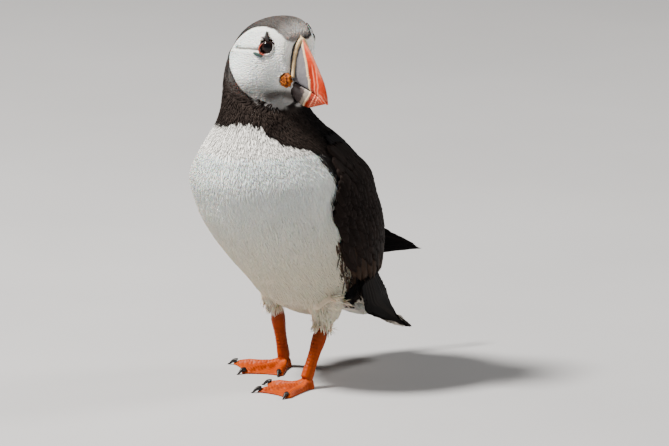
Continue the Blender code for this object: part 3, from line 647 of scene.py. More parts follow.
def head_markings(points, wobble, fine):
    """White cheeks, taupe crown, darker nape; painted shade low on the cheek and in the crease behind the
    eye, and a painted shadow on the chin under the gape.
    """
    forward, aside, up = in_head(points).T
    beside = np.abs(aside) > 8
    crown = mix(CROWN, SILVER, ease(2, 15, forward + 1.2 * fine))
    crown = mix(crown, NAPE, ease(2, -13, forward + 0.25 * up + 1.5 * wobble))
    crown = mix(crown, NAPE, ease(10, 0, up))
    crown = crown * (1 + 0.24 * hash_noise(points, 0.9, 6)[:, None])
    rim = face_depth(forward + 0.35 * wobble, up + 0.35 * fine)
    head = mix(crown, COLLAR, ease(-8, -16, up) * ease(-1, 1.5, -rim))
    dark_edge = ease(0.0, -0.5, rim) * ease(-2.0, -0.7, rim) * ease(-4, 4, up)
    head = mix(head, np.array(NAPE) * 0.9, dark_edge * (0.35 + 0.65 * (aside < 0)))
    # painted shade: the cheek greys towards its lower edge, where it curves under
    cheek = mix(WHITE, CHEEK_PAINTED_SHADE, ease(-3.0, -16.0, up - 0.12 * forward + 0.8 * wobble) * 0.9)
    # painted shadow under the gape, below the bill's base
    chin = line_distance(CHIN_SHADOW_LINE, forward, up) + 0.6 * wobble
    cheek = mix(cheek, CHIN_PAINTED_SHADOW, ease(4.2, 0.8, chin) * 0.85)
    white = ease(-0.3, 0.3, rim) * ease(2.5, 4.5, np.abs(aside) + 0.8 * fine)
    head = mix(head, cheek, white)
    # painted shade: grey along the groove behind the eye
    head = mix(head, CREASE_PAINTED_SHADE, ease(0.9, 0.3, line_distance(CREASE, forward, up)) * white)
    spike = line_distance(SPIKE, forward, up)
    half = 0.35 + 1.5 * ease(22.0, 18.4, up)
    head = mix(head, SPIKE_DARK, ease(half + 0.35, half - 0.15, spike) * beside)
    orbit = np.hypot((forward - RING_PLACE[0]) / RING_SIZE[0], (up - RING_PLACE[1]) / RING_SIZE[1])
    behind_eye = ease(1.5, 0.0, forward - RING_PLACE[0])
    return mix(head, ORBIT_RED, ease(1.1, 0.95, orbit) * behind_eye * beside)


def body_markings(points, wobble, fine):
    """White below the collar and in front of the flank's edge, black behind it, white under the tail; low on
    the belly and under the tail the white is warmed by painted warm shade and painted light reflected from
    the feet.
    """
    angle, height = round_body(points)
    turned = np.abs(angle)
    hem = curve(COLLAR_HEM, angle) + 1.3 * wobble + 0.9 * fine
    edge = curve(SIDE_EDGE, height) + 1.6 * wobble + 1.2 * fine
    # painted warm shade and painted light reflected from the feet, stronger towards the bottom of the belly
    body = mix(WHITE, WHITE_WITH_PAINTED_WARM_BOUNCE, 0.85 * ease(140, 60, height))
    body = body * (1 + 0.02 * fine[:, None])
    flank = ease(0, 6, turned - edge + 8) * ease(80, 70, height) * ease(44, 54, height)
    body = mix(body, TAN, 0.8 * flank)
    black = np.where(height > 128, turned > edge, turned > edge + 2.5) | (height > hem)
    patches = 0.5 + 0.5 * wobble
    body = np.where(black[:, None], mix(BLACK, BACK_WORN, patches), body)
    collar = mix(COLLAR, COLLAR_WORN, patches)
    body = mix(body, collar, ease(0, 2, height - hem) * ease(120, 90, turned))
    behind = points[:, 1] > HIP_BACK
    under = (points[:, 2] < 33.5 - 0.62 * (points[:, 1] - 60)) & (np.abs(points[:, 0]) < 17)
    # the white under the tail takes some of the same painted warm shade
    body = np.where((behind & under)[:, None], mix(WHITE, WHITE_WITH_PAINTED_WARM_BOUNCE, 0.4), body)
    return np.where((behind & ~under & (height < 62))[:, None], np.asarray(BLACK), body)


def markings(points):
    """Colour of the plumage at points of the bird's frame."""
    forward, _, up = in_head(points).T
    wobble, fine = hash_noise(points, 5.0, 3), hash_noise(points, 1.6, 5)
    on_head = ease(-23.5, -20.5, up) * ease(-27, -24, forward) * (points[:, 2] > 163)
    return mix(body_markings(points, wobble, fine), head_markings(points, wobble, fine), on_head)


def unwrap(points):
    """Places on an unwrap of the skin: the body's side below, the head's above."""
    forward, aside, up = in_head(points).T
    angle, height = round_body(points)
    around = np.degrees(np.arctan2(aside, forward))
    rise = np.degrees(np.arctan2(up, np.hypot(forward, aside)))
    of_head = (from_head_middle(points) < 29) & (points[:, 2] > HEAD_FLOOR)
    tail = points[:, 1] - HIP_BACK
    body_uv = np.stack([0.5 + angle / 364, 0.16 + 0.48 * (height - 30) / 160], -1)
    head_uv = np.stack([0.5 + around / 364, 0.83 + 0.165 * rise / 90], -1)
    tail_half = 0.25 * np.sign(points[:, 2] - 42 + 0.5 * tail)
    tail_uv = np.stack([0.5 + points[:, 0] / 60 + tail_half, 0.01 + 0.14 * tail / 80], -1)
    uv = np.where(of_head[:, None], head_uv, body_uv)
    return np.where(((tail > 14) & (height < 60))[:, None], tail_uv, uv)


# ==== Skin ====


def coat_depth(points):
    """How far the skin lies inside the outline."""
    on_head = (points[:, 2] > HEAD_FLOOR) & (from_head_middle(points) < 30)
    depth = np.where(on_head, NAPE_COAT - FACE_THINNER * ease(-14, 4, in_head(points)[:, 0]), BODY_COAT)
    return np.where((points[:, 2] > NECK_FLOOR) & ~on_head, NECK_COAT, depth)


def remeshed(nodes, voxel, grow, smooth_steps):
    """The nodes grown by a little and joined into one closed surface, as a mesh."""
    builder = bmesh.new()
    for node in nodes:
        first = len(builder.verts)
        builder.from_mesh(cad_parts[node].data)
        builder.verts.ensure_lookup_table()
        bmesh.ops.remove_doubles(builder, verts=builder.verts[first:], dist=1e-6)
    bmesh.ops.recalc_face_normals(builder, faces=builder.faces)
    builder.normal_update()
    for vertex in builder.verts:
        vertex.co += vertex.normal * grow * MM
    mesh = bpy.data.meshes.new("flesh")
    builder.to_mesh(mesh)
    builder.free()
    made = linked("flesh", mesh)
    remesh = made.modifiers.new("remesh", "REMESH")
    remesh.mode = "VOXEL"
    remesh.voxel_size = voxel * MM
    smooth = made.modifiers.new("smooth", "SMOOTH")
    smooth.factor = 0.5
    smooth.iterations = smooth_steps
    bpy.context.view_layer.update()
    graph = bpy.context.evaluated_depsgraph_get()
    result = bpy.data.meshes.new_from_object(made.evaluated_get(graph))
    bpy.data.objects.remove(made)
    return result


def on_smooth_form(points):
    """Takes most of the facets out of the skin by moving it towards the round forms of body and head."""
    points = points.copy()
    section = read(BODY_SECTIONS, points[:, 2])
    away = points[:, :2] - section[:, :2]
    radius = norm(away / (section[:, 2:3] * np.array([WIDTH_SHARE, DEPTH_SHARE])), axis=1)
    out = (radius - 1) * section[:, 2]
    off_head = from_head_middle(points) > 28
    off_tail = (points[:, 1] < 40) | (points[:, 2] > 66)
    share = ease(3.4, 2.2, np.abs(out)) * off_head * off_tail * ease(44, 52, points[:, 2])
    wanted = (1 + out * FACET_LEFT / section[:, 2]) / np.maximum(radius, 0.2)
    points[:, :2] = section[:, :2] + away * (1 + (wanted - 1) * share)[:, None]

    forward, aside, up = in_head(points).T
    _, top, bottom = read(HEAD_SECTIONS, forward).T
    middle = (top + bottom) / 2
    rise = up - middle
    size = np.hypot(aside, rise)
    out = over_head_form(points)
    share = ease(3.0, 1.8, np.abs(out)) * ease(-19, -15, forward) * ease(-0.4, -1.6, forward - face_front(up))
    wanted = (size - out * (1 - FACET_LEFT)) / np.maximum(size, 0.5)
    scale = 1 + (wanted - 1) * (share * (points[:, 2] > 172))
    return head_point(forward, aside * scale, middle + rise * scale)


def shape_face(points, normals):
    """Sockets, lids, the crease behind the eye and a fuller cheek."""
    forward, aside, up = in_head(points).T
    near = (points[:, 2] > HEAD_FLOOR) & (np.abs(aside) > 4)
    rim = face_depth(forward, up)
    cheek = near * ease(0.0, 1.6, rim) * ease(9.0, 2.0, rim) * ease(2, -8, up + 0.35 * forward)
    points = points + normals * (CHEEK_RISE * cheek)[:, None]
    crease = line_distance(CREASE, forward, up)
    points = points - normals * (near * 0.8 * ease(1.6, 0.0, crease))[:, None]
    points = points + normals * (near * 0.35 * ease(3.6, 2.0, crease) * ease(1.2, 2.2, crease))[:, None]
    brow = ease(0.0, 17.0, forward) * ease(15.0, 25.0, up) * ease(15.0, 3.0, np.abs(aside))
    points = points - CROWNWARD * (BROW_SLOPE * brow * (points[:, 2] > HEAD_FLOOR))[:, None]
    for side in SIDES:
        middle, axis = eye_axis(side)
        away = points - middle
        height = away @ axis
        out = norm(away - height[:, None] * axis, axis=1)
        lid = (norm(away, axis=1) < EYE_RADIUS + SOCKET["reach"]) & (height > 0)
        share = (ease(5.6, 3.6, out) * lid)[:, None]
        points = points * (1 - share) + (middle + unit(away) * (EYE_RADIUS + SOCKET["gap"])) * share
        hole = (lid & (out < SOCKET["opening"]))[:, None]
        points = np.where(hole, middle + unit(away) * (EYE_RADIUS - SOCKET["sink"]), points)
    return points


def make_skin():
    mesh = remeshed(FLESH, SKIN_VOXEL, CLOSE_GAPS, SKIN_SMOOTHING)
    set_points(mesh, on_smooth_form(mesh_points(mesh)[0]))
    points, normals = mesh_points(mesh)
    set_points(mesh, points - normals * (coat_depth(points) + CLOSE_GAPS)[:, None])
    builder = bmesh.new()
    builder.from_mesh(mesh)
    shift, middle, scale = Vector(SHIFT), Vector(HEAD_MIDDLE), 1 / MM

    def of_head(vertex):
        return (vertex.co * scale - shift - middle).length < 31 and vertex.co.z * scale > 168

    edges = [edge for edge in builder.edges if all(of_head(vertex) for vertex in edge.verts)]
    bmesh.ops.subdivide_edges(builder, edges=edges, cuts=1, use_grid_fill=True)
    bmesh.ops.triangulate(builder, faces=[face for face in builder.faces if len(face.verts) > 4])
    builder.to_mesh(mesh)
    builder.free()
    set_points(mesh, shape_face(*mesh_points(mesh)))
    mesh.shade_smooth()
    points = mesh_points(mesh)[0]
    paint(mesh, markings(points) * SKIN_SHADE)
    lay_flat(mesh, unwrap(points))
    return piece(linked("skin", mesh), SKIN, "plumage", *FLESH)


# ==== Locks: solid tufts rooted on the skin ====


class Surface:
    """The skin's triangles in the bird's frame, to be scattered on."""

    def __init__(self, made):
        mesh = made.data
        mesh.calc_loop_triangles()
        corners = np.empty(len(mesh.loop_triangles) * 3, np.int32)
        mesh.loop_triangles.foreach_get("vertices", corners)
        self.triangles = corners.reshape(-1, 3)
        self.points, self.normals = mesh_points(mesh)
        corner = self.points[self.triangles]
        self.middles = corner.mean(axis=1)
        self.areas = norm(np.cross(corner[:, 1] - corner[:, 0], corner[:, 2] - corner[:, 0]), axis=1) / 2
        self.tree = BVHTree.FromPolygons(self.points.tolist(), self.triangles.tolist())

    def curve_radius(self, roots, lies, lengths):
        """The radius that each lock bends to so that it follows the skin, negative in a hollow."""
        rise = np.empty(len(roots))
        for k, end in enumerate(roots + lies * lengths[:, None]):
            place, normal, _, _ = self.tree.find_nearest(end)
            rise[k] = (Vector(end) - place).dot(normal)
        rise = np.clip(rise, -MOST_BEND, MOST_BEND)
        return lengths**2 / (2 * np.where(np.abs(rise) < LEAST_BEND, LEAST_BEND, rise))

    def scatter(self, chosen, spacing, rng):
        """Roots and normals about a spacing apart on the chosen triangles."""
        index = np.flatnonzero(chosen)
        areas = self.areas[index]
        count = int(areas.sum() / spacing**2 * 3)
        picked = index[rng.choice(len(index), count, p=areas / areas.sum())]
        first, second = rng.random(count), rng.random(count)
        over = first + second > 1
        first, second = np.where(over, 1 - first, first), np.where(over, 1 - second, second)
        weights = np.stack([1 - first - second, first, second], -1)[:, :, None]
        roots = (self.points[self.triangles[picked]] * weights).sum(axis=1)
        normals = unit((self.normals[self.triangles[picked]] * weights).sum(axis=1))
        _, keep = np.unique(np.floor(roots / spacing).astype(np.int64), axis=0, return_index=True)
        return roots[keep], normals[keep]


def along_skin(vectors, normals):
    return unit(vectors - normals * (vectors * normals).sum(axis=1, keepdims=True))


def lie_of_coat(points, normals):
    """The way feathers point: back from the bill over the head, down the neck and back to the tail."""
    to_tail = unit(np.array([0.0, 105.0, 14.0]) - points)
    low = ease(120, 60, points[:, 2])[:, None]
    body = unit(np.array([0.0, 0.12, -1.0]) * (1 - 0.75 * low) + to_tail * (0.35 + 0.65 * low))
    legs = (points[:, 2] < 46)[:, None] & (np.abs(points[:, 0:1]) > 10) & (points[:, 1:2] < 22)
    body = np.where(legs, unit(np.array([0.0, 0.05, -1.0])), body)
    head = unit(mix(-AHEAD - CROWNWARD * 0.30, -UP, ease(-4, -20, in_head(points)[:, 0]) * 0.8))
    on_head = ease(160, 172, points[:, 2]) * (from_head_middle(points) < 31)
    return along_skin(unit(mix(body, head, on_head)), normals)


def make_tufts(name, roots, normals, lies, length, width, lift, colours, finish, rng, hug, tip=0.2, sink=0.4,
               tip_colours=None, spread=0.18):
    """Tapered three-sided locks, each a closed solid, in one mesh."""
    count, rows = len(roots), len(LOCK_STATIONS)
    side = unit(np.cross(lies, normals))
    lies = unit(lies + side * rng.normal(0, spread, count)[:, None])
    side = unit(np.cross(lies, normals))
    length, width, lift, hug = (np.broadcast_to(v, count)[:, None] for v in (length, width, lift, hug))
    to_tip = 1 - LOCK_STATIONS
    along = LOCK_STATIONS * length
    rise = lift * (1 - to_tip**1.7) - sink * to_tip - along**2 / (2 * hug)
    sway = rng.normal(0, LOCK_SWAY, count)[:, None] * length * LOCK_STATIONS**2
    half = width * np.array((*LOCK_WIDTHS, tip)) / 2
    side, normals = side[:, None], normals[:, None]
    centre = roots[:, None] + lies[:, None] * along[..., None] + normals * rise[..., None]
    centre = centre + side * sway[..., None]
    reach = side * half[..., None]
    top = centre + normals * (half * LOCK_THICKNESS)[..., None]
    points = np.stack([centre - reach, centre + reach, top], axis=2)  # lock, station, corner
    base = (np.arange(count) * rows * 3)[:, None]
    quads = [
        base + np.array([[k * 3 + a, (k + 1) * 3 + a, (k + 1) * 3 + b, k * 3 + b]])
        for k in range(rows - 1)
        for a, b in ((0, 1), (1, 2), (2, 0))
    ]
    last = (rows - 1) * 3
    ends = [base + np.array([[0, 1, 2]]), base + np.array([[last, last + 2, last + 1]])]
    tip_colours = colours if tip_colours is None else tip_colours
    shade = mix(colours[:, None], tip_colours[:, None], LOCK_STATIONS)
    shade = np.repeat(shade[:, :, None], 3, axis=2)
    uv = stacked(np.array([-0.5, 0.5, 0.0]) * BAKE_PATCH, (LOCK_STATIONS[:, None] - 0.5) * BAKE_PATCH)
    uv = unwrap(roots)[:, None, None] + uv
    faces = [np.concatenate(quads), np.concatenate(ends)]
    made = make_mesh(name, points.reshape(-1, 3), faces, shade.reshape(-1, 3), uv.reshape(-1, 2))
    return piece(made, finish, "plumage")


def off_face_parts(roots):
    """True where a lock may grow: not inside an eye opening, bill, cere or rosette."""
    forward, aside, up = in_head(roots).T
    free = np.ones(len(roots), bool)
    wide, high = RING_SIZE[0] + 0.5, RING_SIZE[1] + 0.6
    ring = np.hypot((forward - RING_PLACE[0]) / wide, (up - RING_PLACE[1]) / high)
    for sign in SIDES.values():
        free &= ~((ring < 1) & (aside * -sign > 0))
        rosette = head_point(ROSETTE[0], -sign * ROSETTE[1], ROSETTE[2])
        free &= norm(roots - rosette, axis=1) > ROSETTE_SIZE[0] + 0.2
    under_arch = np.abs(aside) < CERE_HALF_WIDTH * np.sqrt(cere_share(up)) + 0.3
    arch = under_arch & (forward > face_front(up) - 1.0)
    level = (up < CERE_FOOT[1]) & (up > read(GONYS, forward)[..., 0] - 0.3)
    beak = (np.abs(aside) < BILL_HALF_WIDTH) & level & (forward > CERE_FOOT[0] - 1.5)
    return free & ~arch & ~beak


def make_head_coat(surface, rng):
    near = is_head(surface.middles)
    front = in_head(surface.middles)[:, 0] > -4
    for name, chosen, spacing, length, width in (
        ("coat_face", near & front, 0.80, 2.4, 0.66),
        ("coat_crown", near & ~front, 0.88, 3.2, 0.78),
    ):
        roots, normals = surface.scatter(chosen, spacing, rng)
        keep = off_face_parts(roots)
        roots, normals = roots[keep], normals[keep]
        count = len(roots)
        lies = lie_of_coat(roots, normals)
        colours = markings(roots) * (1 + rng.normal(0, 0.05, count))[:, None]
        forward, _, up = in_head(roots).T
        scale = 1 - 0.55 * ease(2.2, 0.8, line_distance(CREASE, forward, up))
        scale *= 0.62 + 0.38 * ease(24, 6, forward)
        rim = face_depth(forward, up)
        scale *= 1 - 0.55 * ease(-0.8, 0.0, rim) * ease(3.4, 1.2, rim)
        for side in SIDES:
            scale *= 0.6 + 0.4 * ease(5, 9, norm(roots - eye_axis(side)[0], axis=1))
        scale *= 1 - 0.65 * ease(-13, -18, up)
        lengths = length * scale * rng.uniform(0.8, 1.2, count)
        # the tips come out about 2% lighter than the roots on average, as painted shade at the locks' roots
        tips = markings(roots + lies * lengths[:, None] * 0.8) * (1 + rng.normal(0.02, 0.04, count))[:, None]
        make_tufts(
            name, roots, normals, lies, lengths, width * rng.uniform(0.8, 1.2, count), 0.24 * scale, colours,
            PLUMAGE, rng, surface.curve_radius(roots, lies, lengths), 0.3, 0.22, tips, 0.12,
        )


def below_jowl(roots, colours):
    """Takes the face's white off the locks of the collar."""
    white = (roots[:, 2] > 160)[:, None] & (colours.mean(axis=1, keepdims=True) > 0.1)
    return np.where(white, COLLAR, colours)


def make_body_coat(surface, rng):
    angle, height = round_body(surface.middles)
    aside, back, _ = surface.middles.T
    thigh = (height < 45) & (np.abs(aside) > 9) & (back < 24)
    tail = (back > 40) & (height < 60)
    collar = (height > 141) & ~is_head(surface.middles)
    front = np.abs(angle) < curve(SIDE_EDGE, height) + np.where(height > 62, 3, 8)
    front &= (height <= 141) & ~tail & ~thigh
    for name, chosen, spacing, length, width, lift in (
        ("coat_collar", collar, 1.1, 4.2, 0.85, 0.6),
        ("coat_breast", front & (height > 108), 0.88, 6.2, 0.72, 0.42),
        ("coat_belly", front & (height <= 108) & (height > 74), 0.90, 6.6, 0.76, 0.62),
        ("coat_vent", front & (height <= 74), 0.98, 6.6, 0.84, 0.56),
        ("coat_thighs", thigh, 1.05, 5.5, 0.9, 0.8),
    ):
        roots, normals = surface.scatter(chosen, spacing, rng)
        count = len(roots)
        lies = lie_of_coat(roots, normals)
        lengths = length * rng.uniform(0.75, 1.25, count)
        base, tips, finish = markings(roots), markings(roots + lies * lengths[:, None] * 0.55), PLUMAGE
        if name == "coat_collar":
            base, tips, finish = below_jowl(roots, base), below_jowl(roots, tips), DARK_PLUMAGE
        streak = hash_noise(roots * np.array([1.0, 1.0, 0.3]), 3.5, 9)
        shade = (1 + 0.035 * streak + rng.normal(0, 0.02, count))[:, None]
        widths, lifts = width * rng.uniform(0.75, 1.25, count), lift * rng.uniform(0.7, 1.2, count)
        # each lock's root is painted 3% darker than its tip, as painted shade between the locks
        make_tufts(
            name, roots, normals, lies, lengths, widths, lifts, base * shade * 0.97, finish, rng,
            surface.curve_radius(roots, lies, lengths), tip_colours=tips * shade, spread=0.10,
        )


def make_flank(surface, rng):
    """Long brown locks of the rear flank, with dark pointed ends, hanging in front of and under the wing."""
    angle, height = round_body(surface.middles)
    past = np.abs(angle) - curve(SIDE_EDGE, height)
    chosen = (past > -3) & (past < 50) & (height > 46) & (height < 90) & (surface.middles[:, 1] < 42)
    roots, normals = surface.scatter(chosen, 1.5, rng)
    angle, height = round_body(roots)
    count = len(roots)
    lies = along_skin(unit(lie_of_coat(roots, normals) + np.array([0.0, 0.0, -0.8])), normals)
    shade = rng.uniform(0.6, 1.3, count)[:, None]
    inside = ease(-4, 3, np.abs(angle) - curve(SIDE_EDGE, height)) + rng.normal(0, 0.2, count)
    colours = mix(TAN, np.array(BROWN) * 0.35, np.clip(inside, 0, 1)) * shade
    lengths = (7.0 + 17.0 * ease(92, 66, height)) * rng.uniform(0.7, 1.25, count)
    lengths = np.minimum(lengths, 5.0 + 0.9 * (height - 46))  # none hangs below the belly
    make_tufts(
        "coat_flank", roots, normals, lies, lengths, rng.uniform(0.7, 1.2, count),
        1.7 * rng.uniform(0.7, 1.3, count), colours, DARK_PLUMAGE, rng, 60.0, tip=0.08,
        tip_colours=np.array(BLACK) * 1.5 + 0.25 * colours, spread=0.16,
    )


def make_rump_coat(surface, rng):
    """Black coverts over the tail and white ones under it."""
    _, back, height = surface.middles.T
    roots, normals = surface.scatter((back > 38) & (back < 63) & (height < 62), 1.3, rng)
    lengths = (8.0 - 3.0 * ease(50, 63, roots[:, 1])) * rng.uniform(0.8, 1.2, len(roots))
    lies = lie_of_coat(roots, normals)
    make_tufts(
        "coat_rump", roots, normals, lies, lengths, 1.3, 0.7, markings(roots), PLUMAGE, rng, 60.0, spread=0.1
    )


# ==== Vanes: contour and flight feathers with a shaft ====


def make_vanes(name, centre, outward, half_width, colours, edge_colours, root_uv, rng, finish=VANE,
               slot="flight_feather", nodes=(), thickness=0.16, columns=7, fray=0.06, shaft=0.14, cup=0.25,
               ripple=0.03, patch=(BAKE_PATCH, BAKE_PATCH), shaft_colour=None):
    """Many feathers of the same grid: centre lines and vectors roughly outwards, (feather, station, 3)."""
    step = np.gradient(centre, axis=1)
    side = unit(np.cross(unit(step), outward))
    normal = unit(np.cross(side, unit(step)))[:, :, None]
    count, rows = centre.shape[:2]
    across = np.linspace(-1, 1, columns)
    stations = np.linspace(0, 1, rows)[:, None]
    half = half_width[:, :, None] * (1 + rng.normal(0, EDGE_JITTER, (count, rows, 1)) * np.abs(across) ** 2)
    reach = rng.normal(0, fray, (count, 1, columns)) * (rows - 1) * ease(0.6, 1.0, stations)
    place = centre[:, :, None] + side[:, :, None] * (across * half)[..., None]
    place = place + step[:, :, None] * reach[..., None]
    barbs = np.sin(BARBS[0] * np.abs(across) + BARBS[1] * stations + rng.uniform(0, 6, (count, 1, 1)))
    height = -cup * half * across**2 + ripple * barbs
    height = height + shaft * np.exp(-((across / 0.16) ** 2)) * (1 - 0.7 * stations)
    top = place + normal * height[..., None]
    inner = slice(1, columns - 1)
    body = 1 - np.abs(across[inner]) ** 3
    bottom = top[:, 1:-1, inner] - normal[:, 1:-1] * (thickness * body)[:, None]
    points = np.concatenate([top.reshape(count, -1, 3), bottom.reshape(count, -1, 3)], axis=1)

    upper = np.arange(rows * columns).reshape(rows, columns)
    lower = upper.copy()
    lower[1:-1, 1:-1] = rows * columns + np.arange((rows - 2) * (columns - 2)).reshape(rows - 2, columns - 2)
    quads = np.concatenate([
        np.stack([upper[:-1, :-1], upper[:-1, 1:], upper[1:, 1:], upper[1:, :-1]], -1).reshape(-1, 4),
        np.stack([lower[:-1, :-1], lower[1:, :-1], lower[1:, 1:], lower[:-1, 1:]], -1).reshape(-1, 4),
    ])
    faces = (np.arange(count)[:, None, None] * points.shape[1] + quads).reshape(-1, 4)

    to_edge = np.maximum(np.abs(across) ** 3, ease(0.7, 1.0, stations))
    shade = mix(colours[:, None, None], edge_colours[:, None, None], to_edge)
    if shaft_colour is not None:
        shade = mix(shade, shaft_colour, 0.7 * np.exp(-((across / 0.12) ** 2)))
    uv = root_uv[:, None, None] + stacked(across * patch[0] / 2, (stations - 0.5) * patch[1])

    def both_sides(values):
        """Values of the upper side's grid as values by point."""
        ends = values.shape[-1]
        flat = [values.reshape(count, -1, ends), values[:, 1:-1, inner].reshape(count, -1, ends)]
        return np.concatenate(flat, axis=1).reshape(-1, ends)

    made = make_mesh(name, points.reshape(-1, 3), [faces], both_sides(shade), both_sides(uv))
    return piece(made, finish, slot, *nodes)


def body_vanes(name, roots, slants, length, width, out, lift, colours, edges, rng, rows=7, **more):
    """Feathers on the body's form from roots (angle, height), slants degrees off straight down."""
    angle, height = roots.T
    stations = np.linspace(0, 1, rows)
    slant = np.radians(slants)[:, None]
    length, width, out = (np.broadcast_to(v, len(roots))[:, None] for v in (length, width, out))
    along = length * stations
    heights = height[:, None] - along * np.cos(slant)
    around = np.sign(angle)[:, None] * along * np.sin(slant)
    angles = angle[:, None] + np.degrees(around / np.maximum(read(BODY_SECTIONS, heights)[..., 2], 8))
    outs = out + lift * (stations - 0.3)
    centre = body_point(angles, heights, outs)
    outward = body_point(angles, heights, outs + 1.0) - centre
    half = width / 2 * read(VANE_PROFILE, stations)[:, 0]
    make_vanes(name, centre, outward, half, colours, edges, unwrap(centre[:, 0]), rng, **more)


def staggered(low_angle, high_angle, top, bottom, angle_step, height_step, rng):
    """Roots in rows between two edges, each row shifted by half a step, from the top down."""
    roots = []
    for k, height in enumerate(np.arange(top, bottom, -height_step)):
        start = low_angle(height) + (k % 2) * angle_step / 2
        roots += [(angle, height) for angle in np.arange(start, high_angle(height), angle_step)]
    roots = np.array(roots)
    return roots + rng.normal(0, ROOT_JITTER, roots.shape) * (angle_step, height_step)


def wing_edge(table):
    return lambda height: float(read(table, np.array(height))[0])


def make_back(rng):
    """Mantle and rump between the wings and up to the collar."""
    roots = staggered(lambda height: -180, lambda height: 180, 146, 52, 4.6, 3.1, rng)
    angle, height = roots.T
    roots = roots[np.abs(angle) > np.maximum(curve(WING_FRONT, height) + 6, 94)]
    count = len(roots)
    colours = np.array(BLACK) * rng.uniform(0.75, 1.3, count)[:, None]
    body_vanes(
        "coat_back", roots, rng.normal(6, 8, count), 10.5 * rng.uniform(0.85, 1.15, count), 6.2, -1.0, 1.3,
        colours, colours * 1.5 + 0.001, rng, rows=6, columns=5, fray=0.05, finish=DARK_PLUMAGE,
        slot="plumage",
    )


def make_wing(side, rng):
    sign = SIDES[side]
    low, high = WING_HEM[side]
    hem = (low + high) / 2
    front, end = wing_edge(WING_FRONT), wing_edge(WING_BACK)

    def start(height):
        return max(front(height), float(curve(SIDE_EDGE, height)) - 1.0)

    for name, top, bottom, angle_step, height_step, length, width, out, brown in (
        ("lesser", WING_TOP + 3, hem + 42, 4.6, 3.0, 10.0, 6.0, 0.35, 0.0),
        ("median", hem + 46, hem + 30, 5.2, 4.2, 15.0, 7.4, 0.15, 0.1),
        ("greater", hem + 34, hem + 22, 5.6, 6.5, 21.0, 8.4, 0.0, 0.2),
    ):
        roots = staggered(start, end, top, bottom, angle_step, height_step, rng) * (sign, 1)
        count = len(roots)
        colours = mix(BLACK, BROWN, 0.06 + 0.1 * brown) * rng.uniform(0.7, 1.35, count)[:, None]
        body_vanes(
            f"coverts_{name}_{side}", roots, rng.normal(10, 7, count),
            length * rng.uniform(0.85, 1.12, count), width, out, 1.0, colours, colours * 1.6 + 0.0015, rng,
            fray=0.04,
        )
    # secondaries: long overlapping feathers down to the hem
    count = 15
    share = (np.arange(count) + 0.5) / count
    tops = low + (high - low) * share + rng.normal(0, 1.3, count) + 34
    angles = sign * (start(hem + 2) + (end(hem + 2) - start(hem + 2)) * share)
    colours = mix(QUILL, BROWN, 0.22) * rng.uniform(0.8, 1.4, count)[:, None]
    body_vanes(
        f"secondaries_{side}", np.stack([angles, tops], -1), np.full(count, 5.0),
        34.5 * rng.uniform(0.96, 1.05, count), 8.5, -0.6 + 0.5 * (np.arange(count) % 2), 1.1, colours,
        colours * 1.6 + 0.0015, rng, rows=16, columns=9, fray=0.05, shaft_colour=(0.010, 0.0075, 0.006),
        thickness=0.25,
    )


def make_primaries(side, rng):
    """The hand's long feathers, stacked, each ending a little further down the blade."""
    table = by_index([(*front, *back) for front, back in PRIMARIES[side]])
    is_left, sign = side == "left", SIDES[side]
    count, rows = 8, 30
    centre, outward, half = np.empty((count, rows, 3)), np.empty((count, rows, 3)), np.empty((count, rows))
    tip = np.clip((1 - np.linspace(0, 1, rows)) * 3.2, 0, 1) ** 0.6
    ends, shares = np.linspace(4.0, 2.7 if is_left else 3.6, count), np.linspace(0.18, 0.80, count)
    for j, (end, share) in enumerate(zip(ends, shares)):
        values = read(table, np.linspace(0.0, end, rows))
        front, back = values[:, :3], values[:, 3:]
        blade = back - front
        span = norm(blade, axis=1)
        normal = unit(np.cross(blade, unit(np.gradient(front + back, axis=0)))) * sign
        normal = np.where(normal[:, :1] * sign < 0, -normal, normal)
        bow = 2.2 * np.sin(np.pi * share) * span / 33
        centre[j] = front + blade * share + normal * (bow + 0.9 - 0.24 * j)[:, None]
        half[j] = np.maximum(np.minimum(span * (0.24 if is_left else 0.34), 5.0) * tip, 0.25)
        outward[j] = normal
    colours = np.array(QUILL) * rng.uniform(0.8, 1.25, count)[:, None]
    uv = stacked(0.03 + 0.05 * np.arange(count) + (0.5 if is_left else 0.0), 0.07)
    make_vanes(
        f"primary_vanes_{side}", centre, outward, half, colours, colours * 1.4 + 0.0005, uv, rng, columns=11,
        fray=0.012, shaft_colour=(0.016, 0.012, 0.010), thickness=0.4, cup=0.12, ripple=0.02,
        patch=(0.04, 0.12), nodes=(f"primaries_{side}",), shaft=0.3,
    )


def make_tail(rng):
    """Twelve tail feathers as a short fan."""
    table = by_index([(*middle, wide, thick) for middle, wide, thick in TAIL_SECTIONS])
    count, rows = 12, 24
    centre = np.empty((count, rows, 3))
    t = np.linspace(0, 1, rows)
    for j, aside in enumerate(np.linspace(-0.82, 0.82, count)):
        values = read(table, np.linspace(2.0, 6.0 - 0.75 * abs(aside) ** 1.5, rows))
        wide = values[:, 3]
        x = aside * np.maximum(wide, 8.0) * (0.85 + 0.15 * t)
        roof = -0.10 * wide * aside**2 + 0.5 - 0.10 * abs(j - 5.5)
        centre[j] = values[:, :3] + stacked(x, 0.0, roof)
    half = np.broadcast_to(3.6 * np.clip((1 - t) * 3.0, 0.05, 1) ** 0.55, (count, rows))
    colours = mix(QUILL, BROWN, 0.18) * rng.uniform(0.85, 1.2, count)[:, None]
    uv = stacked(0.03 + 0.04 * np.arange(count), 0.03)
    make_vanes(
        "tail_feathers", centre, UP, half, colours, colours * 1.7 + 0.003, uv, rng, columns=9, fray=0.012,
        shaft_colour=(0.020, 0.015, 0.012), thickness=0.3, patch=(0.03, 0.05), shaft=0.25,
    )


# ==== Bill, eyes, legs ====


def bill_half_width(forward):
    share = (forward - BILL_BACK) / (BILL_END - BILL_BACK)
    first, second = BILL_TAPER
    return BILL_HALF_WIDTH * np.maximum(1 - share**first, 0.0) ** second + BILL_TIP_HALF_WIDTH


